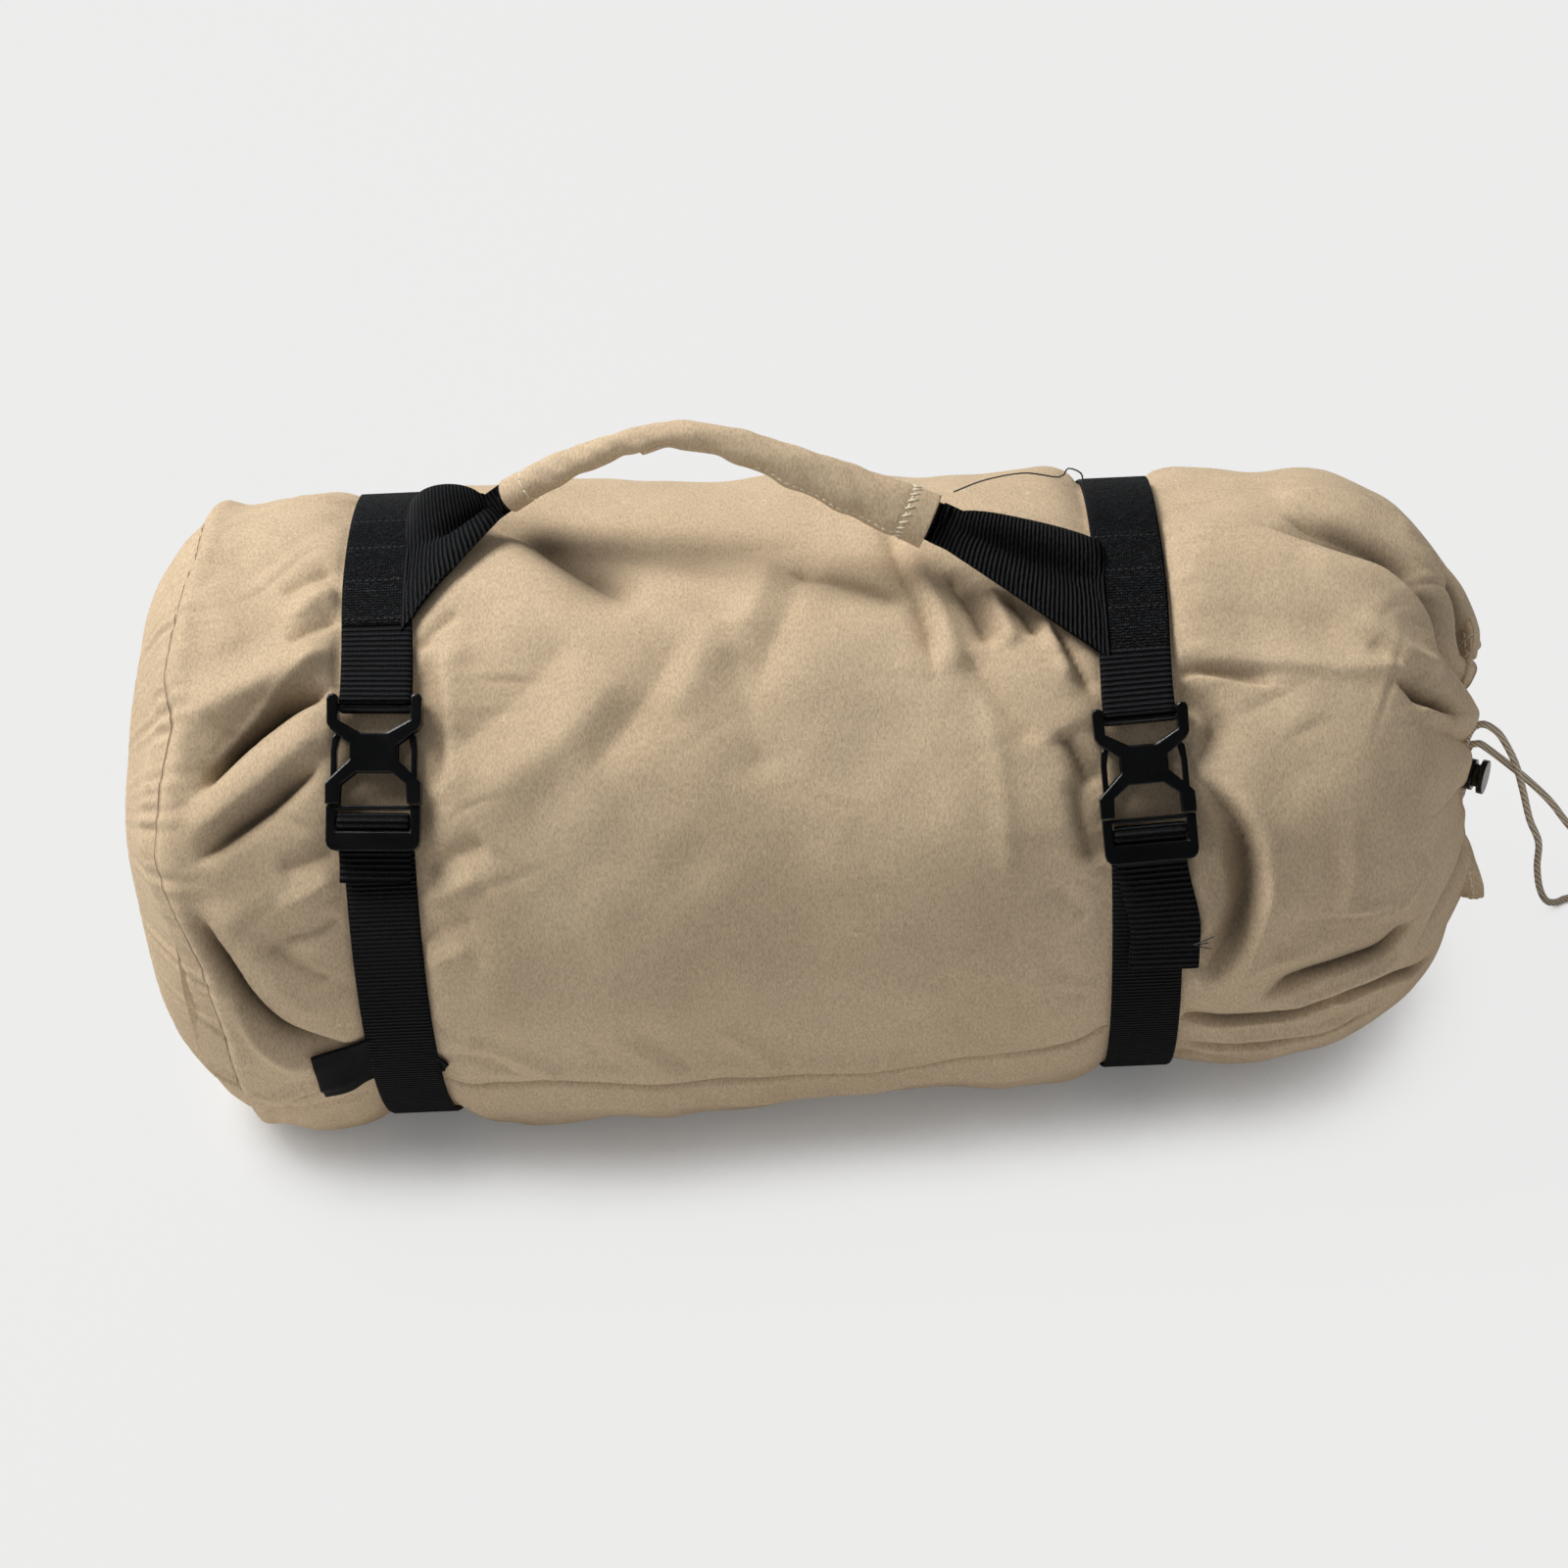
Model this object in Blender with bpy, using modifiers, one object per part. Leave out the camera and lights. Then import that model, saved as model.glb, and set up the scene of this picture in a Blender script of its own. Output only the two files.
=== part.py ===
"""Hexagonal canvas tarp, packed as a roll in its drawstring carry bag.

Metres, +Z up. +X runs along the bag to its gathered mouth, -Y is the side with the
buckles, and the bag lies on Z = 0 with X = 0 and Y = 0 in its middle.
An angle round the bag is in degrees: 0 is the front (-Y), and 90 is the top (+Z).
"""

import math

import bmesh
import bpy
from mathutils import Matrix, Vector

# Clearances
GAP = 0.0003
FIT = 0.0005

# Carry bag
BAG_LENGTH = 0.507
CLOSED_END_RADIUS = 0.1212
MOUTH_END_RADIUS = 0.1120
AXIS_HEIGHT = 0.108
BAG_WALL = 0.0012
END_BULGE = 0.0250
END_BULGE_SHAPE = 3.2
EDGE_ROUND = 0.0045
EDGE_ROUND_LENGTH = 0.016
SHOULDER_LENGTH = 0.0885
SHOULDER_SHAPE = 2.5
CREST_RADIUS = 0.038
THROAT_RADIUS = 0.0266
THROAT_DEPTH = 0.0095
PLEATS = 12
PLEAT_DEPTH = 0.0055
FRONT_SET_BACK = 0.0120
FRONT_SET_BACK_ANGLE = 22.0
WAIST_DEPTH = 0.0030
WAIST_BLEND = 0.0180
WAIST_MARGIN = 0.0035
BAG_SEGMENTS = 48
BODY_STEP = 0.040
THROAT_TURNS = (0, 30, 60)
SHOULDER_TURNS = (89.5, 80, 68, 55, 40, 24, 10)
PANEL_SHARES = (0.985, 0.94, 0.86, 0.7, 0.45, 0.22)

# Drawcord channel and the cord in it
CORD_DIAMETER = 0.0028
HEM_WALL = 0.0013
HEM_ROOM = 0.0010
HEM_SLIT = 0.0036
HEM_SEGMENTS = 24
HEM_SIDES = 7

# Straps, one at each end of the carry handle
STRAP_WIDTH = 0.0250
STRAP_THICKNESS = 0.0016
STRAP_X = {"left": -0.1526, "right": 0.1170}
BUCKLE_ANGLE = {"left": 45.3, "right": 37.8}
BUCKLE_SLANT = {"left": -2.7, "right": 2.8}
SLANT_FADE = 0.050
STITCHED_TOP_ANGLE = 115.0
TAIL_LENGTH = {"left": 0.011, "right": 0.044}

# Side-release buckle: X across the strap, Y up the strap, Z away from the bag
BUCKLE_HALF_WIDTH = 0.0167
BUCKLE_LENGTH = 0.0551
BUCKLE_THICKNESS = 0.0068
BUCKLE_LIFT = 0.0011
SOCKET_LENGTH = 0.0387
SOCKET_PLATE = 0.0013
SOCKET_SIDE = 0.0013
BAR_RADIUS = 0.0015
BAR_FROM_TOP = 0.0046
PLUG_HALF_WIDTH = 0.0164
PLUG_THICKNESS = 0.0055
PLUG_TOP_BAR = 0.0015
PLUG_SLOT = 0.0077
PLUG_CORNER = 0.0034
PLUG_BAR_RADIUS = 0.0013
PRONG_HINGE_INSET = 0.0030
ROOT_GAP = 0.0004

# Cord lock on the drawcord
LOCK_X = 0.2480
LOCK_DROP = 0.0075
LOCK_TURN = -25.0
LOCK_RADIUS = 0.0060
LOCK_WALL = 0.0013
LOCK_BACK = 0.0090
LOCK_FRONT = 0.0045
LOCK_SLOT_HALF = (0.0018, 0.0035)
PRESS_TRAVEL = 0.0020
CAP_RADIUS = 0.0066
CAP_THICKNESS = 0.0022
PLUNGER_BACK = 0.0028
SPRING_WIRE = 0.0004
SPRING_RADIUS = 0.0032
SPRING_TURNS = 3.5
SPRING_POINTS = 10

# Carry handle
SLEEVE_WALL = 0.0009
CORE_END_RADIUS = 0.0032
ANCHOR_THICKNESS = 0.0018
ANCHOR_ANGLES = {"left": (71.0, 115.0), "right": (60.0, 101.0)}
ANCHOR_TIP_WIDTH = 0.0120
ANCHOR_GRID = (7, 7)
HANDLE_STEP = 0.008
BALL_TURNS = (35, 62, 84)

# Label sewn on beside the left strap
LABEL_LENGTH = 0.0205
LABEL_ANGLES = (-19.0, -8.0)
LABEL_THICKNESS = 0.0008
LABEL_GRID = (5, 4)

# Rolled tarp, its corner loops and its guylines
ROLL_START = 0.0235
ROLL_LENGTH = 0.392
ROLL_FOLD = 0.0140
ROLL_SLACK = 0.0006
ROLL_CORE_RADIUS = 0.012
ROLL_STEPS = 20
HANK_SIZE = (0.080, 0.024, 0.012)
HANK_PITCH = (0.085, 0.027)
RUNNER_SIZE = (0.030, 0.010, 0.0028)
RUNNER_HOLE = 0.0022
RUNNER_HOLE_PITCH = 0.0095
LOOP_SIZE = (0.025, 0.034, 0.003)
LOOP_BAND = 0.005
LOOP_PITCH = 0.033
LOOP_RISE = 0.060

# Sides and steps of round shapes
BAR_SIDES = 16
LOOP_SIDES = 24
LOCK_SIDES = 28
STADIUM_STEPS = 6
HOLE_SIDES = 8
KNOT_SEGMENTS = (12, 8)

# The handle's middle line, from the left flare to the right one
HANDLE_ROUTE = [
    (-0.1087, 0.0111, 0.2391),
    (-0.1048, 0.0102, 0.2421),
    (-0.0895, 0.0068, 0.2536),
    (-0.0746, 0.0035, 0.2623),
    (-0.0600, 0.0002, 0.2701),
    (-0.0422, -0.0037, 0.2756),
    (-0.0267, -0.0071, 0.2746),
    (-0.0115, -0.0105, 0.2699),
    (0.0054, -0.0142, 0.2636),
    (0.0224, -0.0180, 0.2565),
    (0.0359, -0.0210, 0.2515),
    (0.0461, -0.0233, 0.2471),
    (0.0506, -0.0243, 0.2452),
]
SLEEVE_RADII = [0.0058, 0.0050, 0.0045, 0.0046, 0.0055, 0.0072]

# The two ends of the drawcord, from the hem through the lock to the knot
STRAND_A_ROUTE = [
    (0.2438, -0.0016, 0.0845),
    (0.2462, -0.0016, 0.0860),
    (0.2472, -0.0016, 0.0900),
    (0.2472, -0.0016, 0.0980),
    (0.2472, -0.0016, 0.1050),
    (0.2473, -0.0017, 0.1120),
    (0.2479, -0.0019, 0.1190),
    (0.2500, -0.0020, 0.1243),
    (0.2536, -0.0023, 0.1257),
    (0.2575, -0.0022, 0.1230),
    (0.2613, -0.0015, 0.1179),
    (0.2674, -0.0006, 0.1047),
    (0.2721, 0.0015, 0.0889),
    (0.2774, 0.0070, 0.0690),
    (0.2834, 0.0130, 0.0517),
    (0.2855, 0.0190, 0.0336),
    (0.2888, 0.0240, 0.0174),
    (0.2933, 0.0285, 0.0062),
    (0.2983, 0.0320, 0.0020),
    (0.3040, 0.0350, 0.0015),
    (0.3170, 0.0360, 0.0015),
    (0.3280, 0.0290, 0.0015),
    (0.3330, 0.0140, 0.0015),
    (0.3310, -0.0060, 0.0015),
    (0.3235, -0.0260, 0.0015),
    (0.3155, -0.0460, 0.0015),
    (0.3090, -0.0660, 0.0015),
    (0.3045, -0.0860, 0.0015),
    (0.3030, -0.0955, 0.0023),
    (0.3027, -0.1005, 0.0040),
]
STRAND_B_ROUTE = [
    (0.2450, 0.0016, 0.0845),
    (0.2477, 0.0016, 0.0860),
    (0.2488, 0.0016, 0.0902),
    (0.2488, 0.0016, 0.0980),
    (0.2488, 0.0016, 0.1045),
    (0.2491, 0.0016, 0.1095),
    (0.2508, 0.0017, 0.1128),
    (0.2536, 0.0020, 0.1127),
    (0.2573, 0.0034, 0.1088),
    (0.2665, 0.0056, 0.0986),
    (0.2764, 0.0062, 0.0880),
    (0.2846, 0.0052, 0.0787),
    (0.2918, 0.0040, 0.0683),
    (0.3080, 0.0020, 0.0470),
    (0.3260, 0.0000, 0.0270),
    (0.3420, -0.0040, 0.0120),
    (0.3550, -0.0120, 0.0035),
    (0.3630, -0.0250, 0.0015),
    (0.3640, -0.0420, 0.0015),
    (0.3580, -0.0600, 0.0015),
    (0.3460, -0.0760, 0.0015),
    (0.3300, -0.0890, 0.0015),
    (0.3180, -0.0960, 0.0016),
    (0.3118, -0.0997, 0.0025),
    (0.3068, -0.1028, 0.0040),
]
CORD_STEP = 0.0075
KNOT_CENTRE = (0.3027, -0.1060, 0.0042)
KNOT_RADII = (0.0047, 0.0052, 0.0041)

# Worked out from the sizes above
MOUTH_X = BAG_LENGTH / 2
CLOSED_X = -BAG_LENGTH / 2
SEAM_X = CLOSED_X + END_BULGE
SHOULDER_X = MOUTH_X - SHOULDER_LENGTH
THROAT_X = MOUTH_X - THROAT_DEPTH
STRAP_HALF = STRAP_WIDTH / 2
CORD_RADIUS = CORD_DIAMETER / 2
HEM_BORE = CORD_RADIUS + 2 * GAP + HEM_ROOM
HEM_TUBE = HEM_BORE + HEM_WALL
HEM_SLIT_ANGLE = math.degrees(math.asin(HEM_SLIT / 2 / HEM_TUBE))
HEM_FACET = HEM_TUBE * math.cos(math.radians((180 - HEM_SLIT_ANGLE) / HEM_SIDES))
HEM_REACH = (HEM_FACET + GAP) * math.sqrt(0.5)
HEM_RADIUS = THROAT_RADIUS - HEM_REACH
HEM_X = THROAT_X - BAG_WALL - HEM_REACH
SOCKET_TOP = BUCKLE_LENGTH / 2
SOCKET_MOUTH = SOCKET_TOP - SOCKET_LENGTH
PLUG_BOTTOM = -BUCKLE_LENGTH / 2
PLUG_TOP = SOCKET_MOUTH - FIT
SLOT_TOP = PLUG_TOP - PLUG_TOP_BAR
SLOT_BOTTOM = SLOT_TOP - PLUG_SLOT
ADJUSTER_RADIUS = PLUG_BAR_RADIUS + GAP + STRAP_THICKNESS
ADJUSTER_Y = SLOT_TOP - ADJUSTER_RADIUS - FIT
ADJUSTER_Z = ADJUSTER_RADIUS + GAP
LOOP_RADIUS = BAR_RADIUS + GAP + STRAP_THICKNESS
CAVITY_HALF = BUCKLE_HALF_WIDTH - SOCKET_SIDE
SLOT_HALF = STRAP_HALF + 2 * GAP
LOCK_Z = AXIS_HEIGHT - LOCK_DROP
PLUNGER_RADIUS = LOCK_RADIUS - LOCK_WALL - GAP
CAP_START = LOCK_FRONT + PRESS_TRAVEL + GAP

WELD = 0.00001


def clear_scene():
    for obj in list(bpy.data.objects):
        bpy.data.objects.remove(obj, do_unlink=True)


def collection(name):
    made = bpy.data.collections.new(name)
    bpy.context.scene.collection.children.link(made)
    return made


def material(name, colour, roughness, metallic=0.0):
    made = bpy.data.materials.new(name)
    made.use_nodes = True
    shader = made.node_tree.nodes["Principled BSDF"]
    shader.inputs["Base Color"].default_value = (*colour, 1)
    shader.inputs["Roughness"].default_value = roughness
    shader.inputs["Metallic"].default_value = metallic
    made.diffuse_color = (*colour, 1)
    return made


clear_scene()
PARTS = collection("packed_tarp")
CUTTERS = collection("cutters")
CANVAS = material("canvas", (0.50, 0.37, 0.25), 0.95)
WEBBING = material("webbing", (0.012, 0.012, 0.013), 0.75)
PLASTIC = material("buckle_plastic", (0.010, 0.010, 0.011), 0.32)
LABEL = material("label_weave", (0.010, 0.010, 0.011), 0.6)
CORD = material("cord_braid", (0.55, 0.42, 0.30), 0.8)
STEEL = material("spring_steel", (0.60, 0.60, 0.60), 0.3, 1.0)
TARP = material("tarp_cloth", (0.46, 0.35, 0.24), 0.95)
GUYLINE = material("guyline_braid", (0.35, 0.26, 0.17), 0.8)


# Mesh helpers


def frozen(obj):
    """The mesh that an object evaluates to, in the world, in place of the object."""
    bpy.context.view_layer.update()
    graph = bpy.context.evaluated_depsgraph_get()
    mesh = bpy.data.meshes.new_from_object(obj.evaluated_get(graph))
    mesh.transform(obj.matrix_world)
    bpy.data.objects.remove(obj)
    return mesh


def closed(mesh):
    """Welds a mesh's loose edges and turns its faces outward."""
    bm = bmesh.new()
    bm.from_mesh(mesh)
    bmesh.ops.remove_doubles(bm, verts=bm.verts, dist=WELD)
    bmesh.ops.recalc_face_normals(bm, faces=bm.faces)
    bm.to_mesh(mesh)
    bm.free()
    return mesh


def place(name, mesh, look, frame=None):
    """A named sub-part in the parts' collection."""
    mesh.name = name
    mesh.materials.clear()
    mesh.materials.append(look)
    mesh.shade_smooth()
    mesh.set_sharp_from_angle(angle=math.radians(35))
    obj = bpy.data.objects.new(name, mesh)
    PARTS.objects.link(obj)
    if frame is not None:
        obj.matrix_world = frame
    return obj


def helper(name, mesh, frame=None):
    """A shape that only cuts or joins another one."""
    obj = bpy.data.objects.new(name, mesh)
    CUTTERS.objects.link(obj)
    obj.hide_render = True
    obj.display_type = "WIRE"
    if frame is not None:
        obj.matrix_world = frame
    return obj


def combine(obj, other, operation):
    modifier = obj.modifiers.new(other.name, "BOOLEAN")
    modifier.operation = operation
    modifier.solver = "EXACT"
    modifier.object = other


def thicken(obj, thickness, outward):
    modifier = obj.modifiers.new("cloth", "SOLIDIFY")
    modifier.thickness = thickness
    modifier.offset = 1 if outward else -1


def box_mesh(low, high):
    mesh = bpy.data.meshes.new("box")
    bm = bmesh.new()
    bmesh.ops.create_cube(bm, size=1)
    low, high = Vector(low), Vector(high)
    size = high - low
    bmesh.ops.scale(bm, verts=bm.verts, vec=size)
    bmesh.ops.translate(bm, verts=bm.verts, vec=(low + high) / 2)
    bm.to_mesh(mesh)
    bm.free()
    return mesh


def rod_mesh(radius, start, end, sides):
    """A cylinder between two points."""
    start, end = Vector(start), Vector(end)
    mesh = bpy.data.meshes.new("rod")
    bm = bmesh.new()
    bmesh.ops.create_cone(
        bm, cap_ends=True, segments=sides, radius1=radius, radius2=radius, depth=1
    )
    along = end - start
    turn = along.to_track_quat("Z", "Y").to_matrix().to_4x4()
    stretch = Matrix.Diagonal((1, 1, along.length, 1))
    bm.transform(Matrix.Translation((start + end) / 2) @ turn @ stretch)
    bm.to_mesh(mesh)
    bm.free()
    return mesh


def plate_mesh(loops, low, high):
    """A flat outline in X and Y, the later loops being holes, from one Z to another."""
    curve = bpy.data.curves.new("outline", "CURVE")
    curve.dimensions = "2D"
    curve.fill_mode = "BOTH"
    curve.extrude = (high - low) / 2
    for loop in loops:
        spline = curve.splines.new("POLY")
        spline.points.add(len(loop) - 1)
        for point, (x, y) in zip(spline.points, loop):
            point.co = (x, y, 0, 1)
        spline.use_cyclic_u = True
    obj = bpy.data.objects.new("outline", curve)
    CUTTERS.objects.link(obj)
    mesh = frozen(obj)
    mesh.transform(Matrix.Translation((0, 0, (low + high) / 2)))
    return closed(mesh)


def tube_mesh(points, radii, resolution=2):
    """A round tube with filled caps along a polyline, with a radius at each point."""
    curve = bpy.data.curves.new("tube", "CURVE")
    curve.dimensions = "3D"
    curve.bevel_depth = 1.0
    curve.bevel_resolution = resolution
    curve.use_fill_caps = True
    spline = curve.splines.new("POLY")
    spline.points.add(len(points) - 1)
    for target, point, radius in zip(spline.points, points, radii):
        target.co = (*point, 1)
        target.radius = radius
    obj = bpy.data.objects.new("tube", curve)
    CUTTERS.objects.link(obj)
    return closed(frozen(obj))


def turned_mesh(profile, steps, cyclic=False):
    """Turns (radius, height) points, listed down the outer side, about Z."""
    mesh = bpy.data.meshes.new("profile")
    edges = [(i, i + 1) for i in range(len(profile) - 1)]
    if cyclic:
        edges.append((len(profile) - 1, 0))
    mesh.from_pydata([(r, 0, h) for r, h in profile], edges, [])
    obj = bpy.data.objects.new("profile", mesh)
    CUTTERS.objects.link(obj)
    screw = obj.modifiers.new("turn", "SCREW")
    screw.axis = "Z"
    screw.steps = steps
    screw.render_steps = steps
    screw.use_merge_vertices = True
    screw.merge_threshold = WELD
    return frozen(obj)


def lay_along_bag(mesh, shape):
    """Lays a piece turned about Z along the bag, its Z to +X, and bends it by shape."""
    for vertex in mesh.vertices:
        radius = math.hypot(vertex.co.x, vertex.co.y)
        angle = math.degrees(math.atan2(-vertex.co.y, vertex.co.x))
        vertex.co = shape(vertex.co.z, angle, radius)
    mesh.update()
    return mesh


def smooth_line(points, step):
    """Points about a step apart on a smooth curve through the given ones."""
    knots = [Vector(p) for p in points]
    knots = [2 * knots[0] - knots[1], *knots, 2 * knots[-1] - knots[-2]]
    line = []
    for before, start, end, after in zip(knots, knots[1:], knots[2:], knots[3:]):
        count = max(1, round((end - start).length / step))
        for i in range(count):
            t = i / count
            line.append(
                0.5
                * (
                    2 * start
                    + (end - before) * t
                    + (2 * before - 5 * start + 4 * end - after) * t**2
                    + (3 * start - before - 3 * end + after) * t**3
                )
            )
    return [*line, knots[-2]]


# The bag's surface


def body_radius(x):
    """The bag's radius between its two ends, where no strap draws it in."""
    share = (x - SEAM_X) / (SHOULDER_X - SEAM_X)
    share = min(max(share, 0), 1)
    return CLOSED_END_RADIUS + share * (MOUTH_END_RADIUS - CLOSED_END_RADIUS)


def waist(x, side):
    """How far a strap draws the bag in here, from 0 to 1."""
    away = abs(x - STRAP_X[side]) - STRAP_HALF - WAIST_MARGIN
    share = min(max(away / WAIST_BLEND, 0), 1)
    return 0.5 + 0.5 * math.cos(math.pi * share)


def bag_radius(x):
    rounded = max(0, 1 - (x - SEAM_X) / EDGE_ROUND_LENGTH) ** 2 * EDGE_ROUND
    radius = body_radius(x) - rounded
    for side in STRAP_X:
        radius += waist(x, side) * (seat_radius(side) - body_radius(x))
    return radius


def seat_radius(side):
    """The bag's radius under a strap."""
    return body_radius(STRAP_X[side]) - WAIST_DEPTH


def around(angle, radius):
    """Y and Z of a point round the bag's axis."""
    turn = math.radians(angle)
    return -radius * math.cos(turn), AXIS_HEIGHT + radius * math.sin(turn)


def on_bag(x, angle, lift):
    """A point above the bag's side."""
    return Vector((x, *around(angle, bag_radius(x) + lift)))


def shoulder(turn):
    """(radius, x) on the round shoulder, from 0 at the body to 90 degrees at the crest."""
    power = 2 / SHOULDER_SHAPE
    x = SHOULDER_X + SHOULDER_LENGTH * math.sin(math.radians(turn)) ** power
    rise = max(math.cos(math.radians(turn)), 0) ** power
    return CREST_RADIUS + (MOUTH_END_RADIUS - CREST_RADIUS) * rise, x


def bag_profile():
    """(radius, x) of the cloth from the throat over the crest to the closed end's seam."""
    profile = []
    for turn in THROAT_TURNS:
        share = math.sin(math.radians(turn))
        drop = math.cos(math.radians(turn))
        radius = THROAT_RADIUS + (CREST_RADIUS - THROAT_RADIUS) * share
        profile.append((radius, MOUTH_X - THROAT_DEPTH * drop))
    profile += [shoulder(turn) for turn in SHOULDER_TURNS]
    profile += [(bag_radius(x), x) for x in body_stations()]
    return profile


def body_stations():
    """X of the rings between shoulder and seam, closest where the straps draw in."""
    wanted = [SHOULDER_X, SEAM_X, SEAM_X + EDGE_ROUND_LENGTH / 2, SEAM_X + EDGE_ROUND_LENGTH]
    for strap_x in STRAP_X.values():
        for share in (0, 0.5, 1):
            reach = STRAP_HALF + WAIST_MARGIN + share * WAIST_BLEND
            wanted += [strap_x - reach, strap_x + reach]
    wanted = sorted(x for x in wanted if SEAM_X <= x <= SHOULDER_X)
    stations = []
    for start, end in zip(wanted, wanted[1:]):
        count = max(1, math.ceil((end - start) / BODY_STEP))
        stations += [start + (end - start) * i / count for i in range(count)]
    return list(reversed([*stations, wanted[-1]]))


def set_back(angle):
    """How far the mouth lies further in at its front."""
    facing = 0.5 + 0.5 * math.cos(math.radians(angle - FRONT_SET_BACK_ANGLE))
    return FRONT_SET_BACK * facing**3


def bag_shape(x, angle, radius):
    """Pleats the shoulder, sets its front back and lays the bag's underside flat."""
    in_throat = radius < CREST_RADIUS
    gather = min(max((x - SHOULDER_X) / SHOULDER_LENGTH, 0), 1) ** 2
    x -= set_back(angle) * (1 if in_throat else gather)
    if in_throat:
        gather *= (radius - THROAT_RADIUS) / (CREST_RADIUS - THROAT_RADIUS)
    fold = 0.5 - 0.5 * math.cos(math.radians(PLEATS * angle))
    y, z = around(angle, radius - PLEAT_DEPTH * gather * fold)
    floor = (STRAP_THICKNESS + GAP) * max(waist(x, side) for side in STRAP_X)
    return x, y, max(z, floor)


def build_bag():
    cloth = turned_mesh(bag_profile(), BAG_SEGMENTS)
    shell = place("bag_shell", lay_along_bag(cloth, bag_shape), CANVAS)
    thicken(shell, BAG_WALL, outward=False)

    rim = bag_radius(SEAM_X) - BAG_WALL - FIT
    profile = [(rim, SEAM_X + BAG_WALL)]
    for share in PANEL_SHARES:
        profile.append((rim * share, CLOSED_X + END_BULGE * share**END_BULGE_SHAPE))
    profile.append((0, CLOSED_X))
    low = BAG_WALL + FIT

    def lay_flat(x, angle, radius):
        y, z = around(angle, radius)
        return x, y, max(z, low)

    cloth = turned_mesh(profile, BAG_SEGMENTS)
    panel = place("bag_end_panel", lay_along_bag(cloth, lay_flat), CANVAS)
    thicken(panel, BAG_WALL, outward=False)


def throat_shape(x, angle, radius):
    return x - set_back(angle), *around(angle, radius)


def build_hem():
    """The drawcord channel, slit towards +X, and the cord that runs round in it."""
    outer_start = HEM_SLIT_ANGLE
    inner_start = math.degrees(math.asin(HEM_SLIT / 2 / HEM_BORE))
    section = []
    for i in range(HEM_SIDES + 1):
        turn = math.radians(outer_start + (360 - 2 * outer_start) * i / HEM_SIDES)
        section.append((HEM_TUBE * math.sin(turn), HEM_TUBE * math.cos(turn)))
    for i in range(HEM_SIDES, -1, -1):
        turn = math.radians(inner_start + (360 - 2 * inner_start) * i / HEM_SIDES)
        section.append((HEM_BORE * math.sin(turn), HEM_BORE * math.cos(turn)))
    profile = [(HEM_RADIUS + r, HEM_X + x) for r, x in section]
    channel = lay_along_bag(turned_mesh(profile, HEM_SEGMENTS, cyclic=True), throat_shape)
    place("mouth_hem", closed(channel), CANVAS)

    ring = [
        (
            HEM_RADIUS + CORD_RADIUS * math.cos(math.radians(turn)),
            HEM_X + CORD_RADIUS * math.sin(math.radians(turn)),
        )
        for turn in range(0, 360, 45)
    ]
    cord = lay_along_bag(turned_mesh(ring, HEM_SEGMENTS, cyclic=True), throat_shape)
    place("drawcord_in_hem", closed(cord), CORD)


def build_label():
    """A bare woven label, sewn on from the strap's edge towards the closed end."""
    right = STRAP_X["left"] - STRAP_HALF - GAP
    columns, rows = LABEL_GRID
    points = []
    for j in range(rows):
        angle = LABEL_ANGLES[0] + (LABEL_ANGLES[1] - LABEL_ANGLES[0]) * j / (rows - 1)
        for i in range(columns):
            x = right - LABEL_LENGTH * (1 - i / (columns - 1))
            points.append(on_bag(x, angle, FIT))
    label = place("bag_label", grid_mesh(points, columns, rows), LABEL)
    thicken(label, LABEL_THICKNESS, outward=True)


def grid_mesh(points, columns, rows):
    """A sheet of four-sided faces over rows of points."""
    mesh = bpy.data.meshes.new("sheet")
    faces = []
    for j in range(rows - 1):
        for i in range(columns - 1):
            a = j * columns + i
            faces.append((a, a + 1, a + columns + 1, a + columns))
    mesh.from_pydata(points, [], faces)
    return mesh


# Straps and buckles


def strap_frame(side):
    """On the bag under the middle of the closed buckle, square to the strap."""
    turn = math.radians(BUCKLE_ANGLE[side])
    outward = Vector((0, -math.cos(turn), math.sin(turn)))
    up = Vector((0, math.sin(turn), math.cos(turn)))
    across = Vector((1, 0, 0))
    origin = Vector((STRAP_X[side], *around(BUCKLE_ANGLE[side], seat_radius(side) + BUCKLE_LIFT)))
    turned = Matrix((across, up, outward)).transposed().to_4x4()
    return Matrix.Translation(origin) @ turned


def buckle_frame(side):
    """The frame of the buckle, which lies a little askew on the bag."""
    return strap_frame(side) @ Matrix.Rotation(math.radians(BUCKLE_SLANT[side]), 4, "Z")


def in_section(side, y, z):
    """Y and Z in the world of a point in the strap's frame."""
    point = strap_frame(side) @ Vector((0, y, z))
    return Vector((point.y, point.z))


def slanted(mesh, side):
    """Turns the webbing with the buckle, and fades the turn out beyond its ends."""
    slant = math.sin(math.radians(BUCKLE_SLANT[side]))
    for vertex in mesh.vertices:
        offset = vertex.co.x - STRAP_X[side]
        away = Vector((vertex.co.y, vertex.co.z - AXIS_HEIGHT))
        angle = math.degrees(math.atan2(away.y, -away.x))
        ahead = seat_radius(side) * math.radians(angle - BUCKLE_ANGLE[side])
        beyond = max(abs(ahead) - SOCKET_TOP, 0)
        fade = 0.5 + 0.5 * math.cos(math.pi * min(beyond / SLANT_FADE, 1))
        ahead = min(max(ahead, -SOCKET_TOP), SOCKET_TOP)
        angle += math.degrees(offset * slant / away.length) * fade
        vertex.co = (
            vertex.co.x - ahead * slant * fade,
            *around(angle, away.length),
        )
    mesh.update()
    return mesh


def ribbon(line, half):
    """The outline of a strip along a middle line in the YZ plane."""
    left, right = [], []
    for i, point in enumerate(line):
        before, after = line[max(i - 1, 0)], line[min(i + 1, len(line) - 1)]
        along = (after - before).normalized()
        side = Vector((-along.y, along.x)) * half
        left.append(point + side)
        right.append(point - side)
    return [tuple(p) for p in left + right[::-1]]


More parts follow.
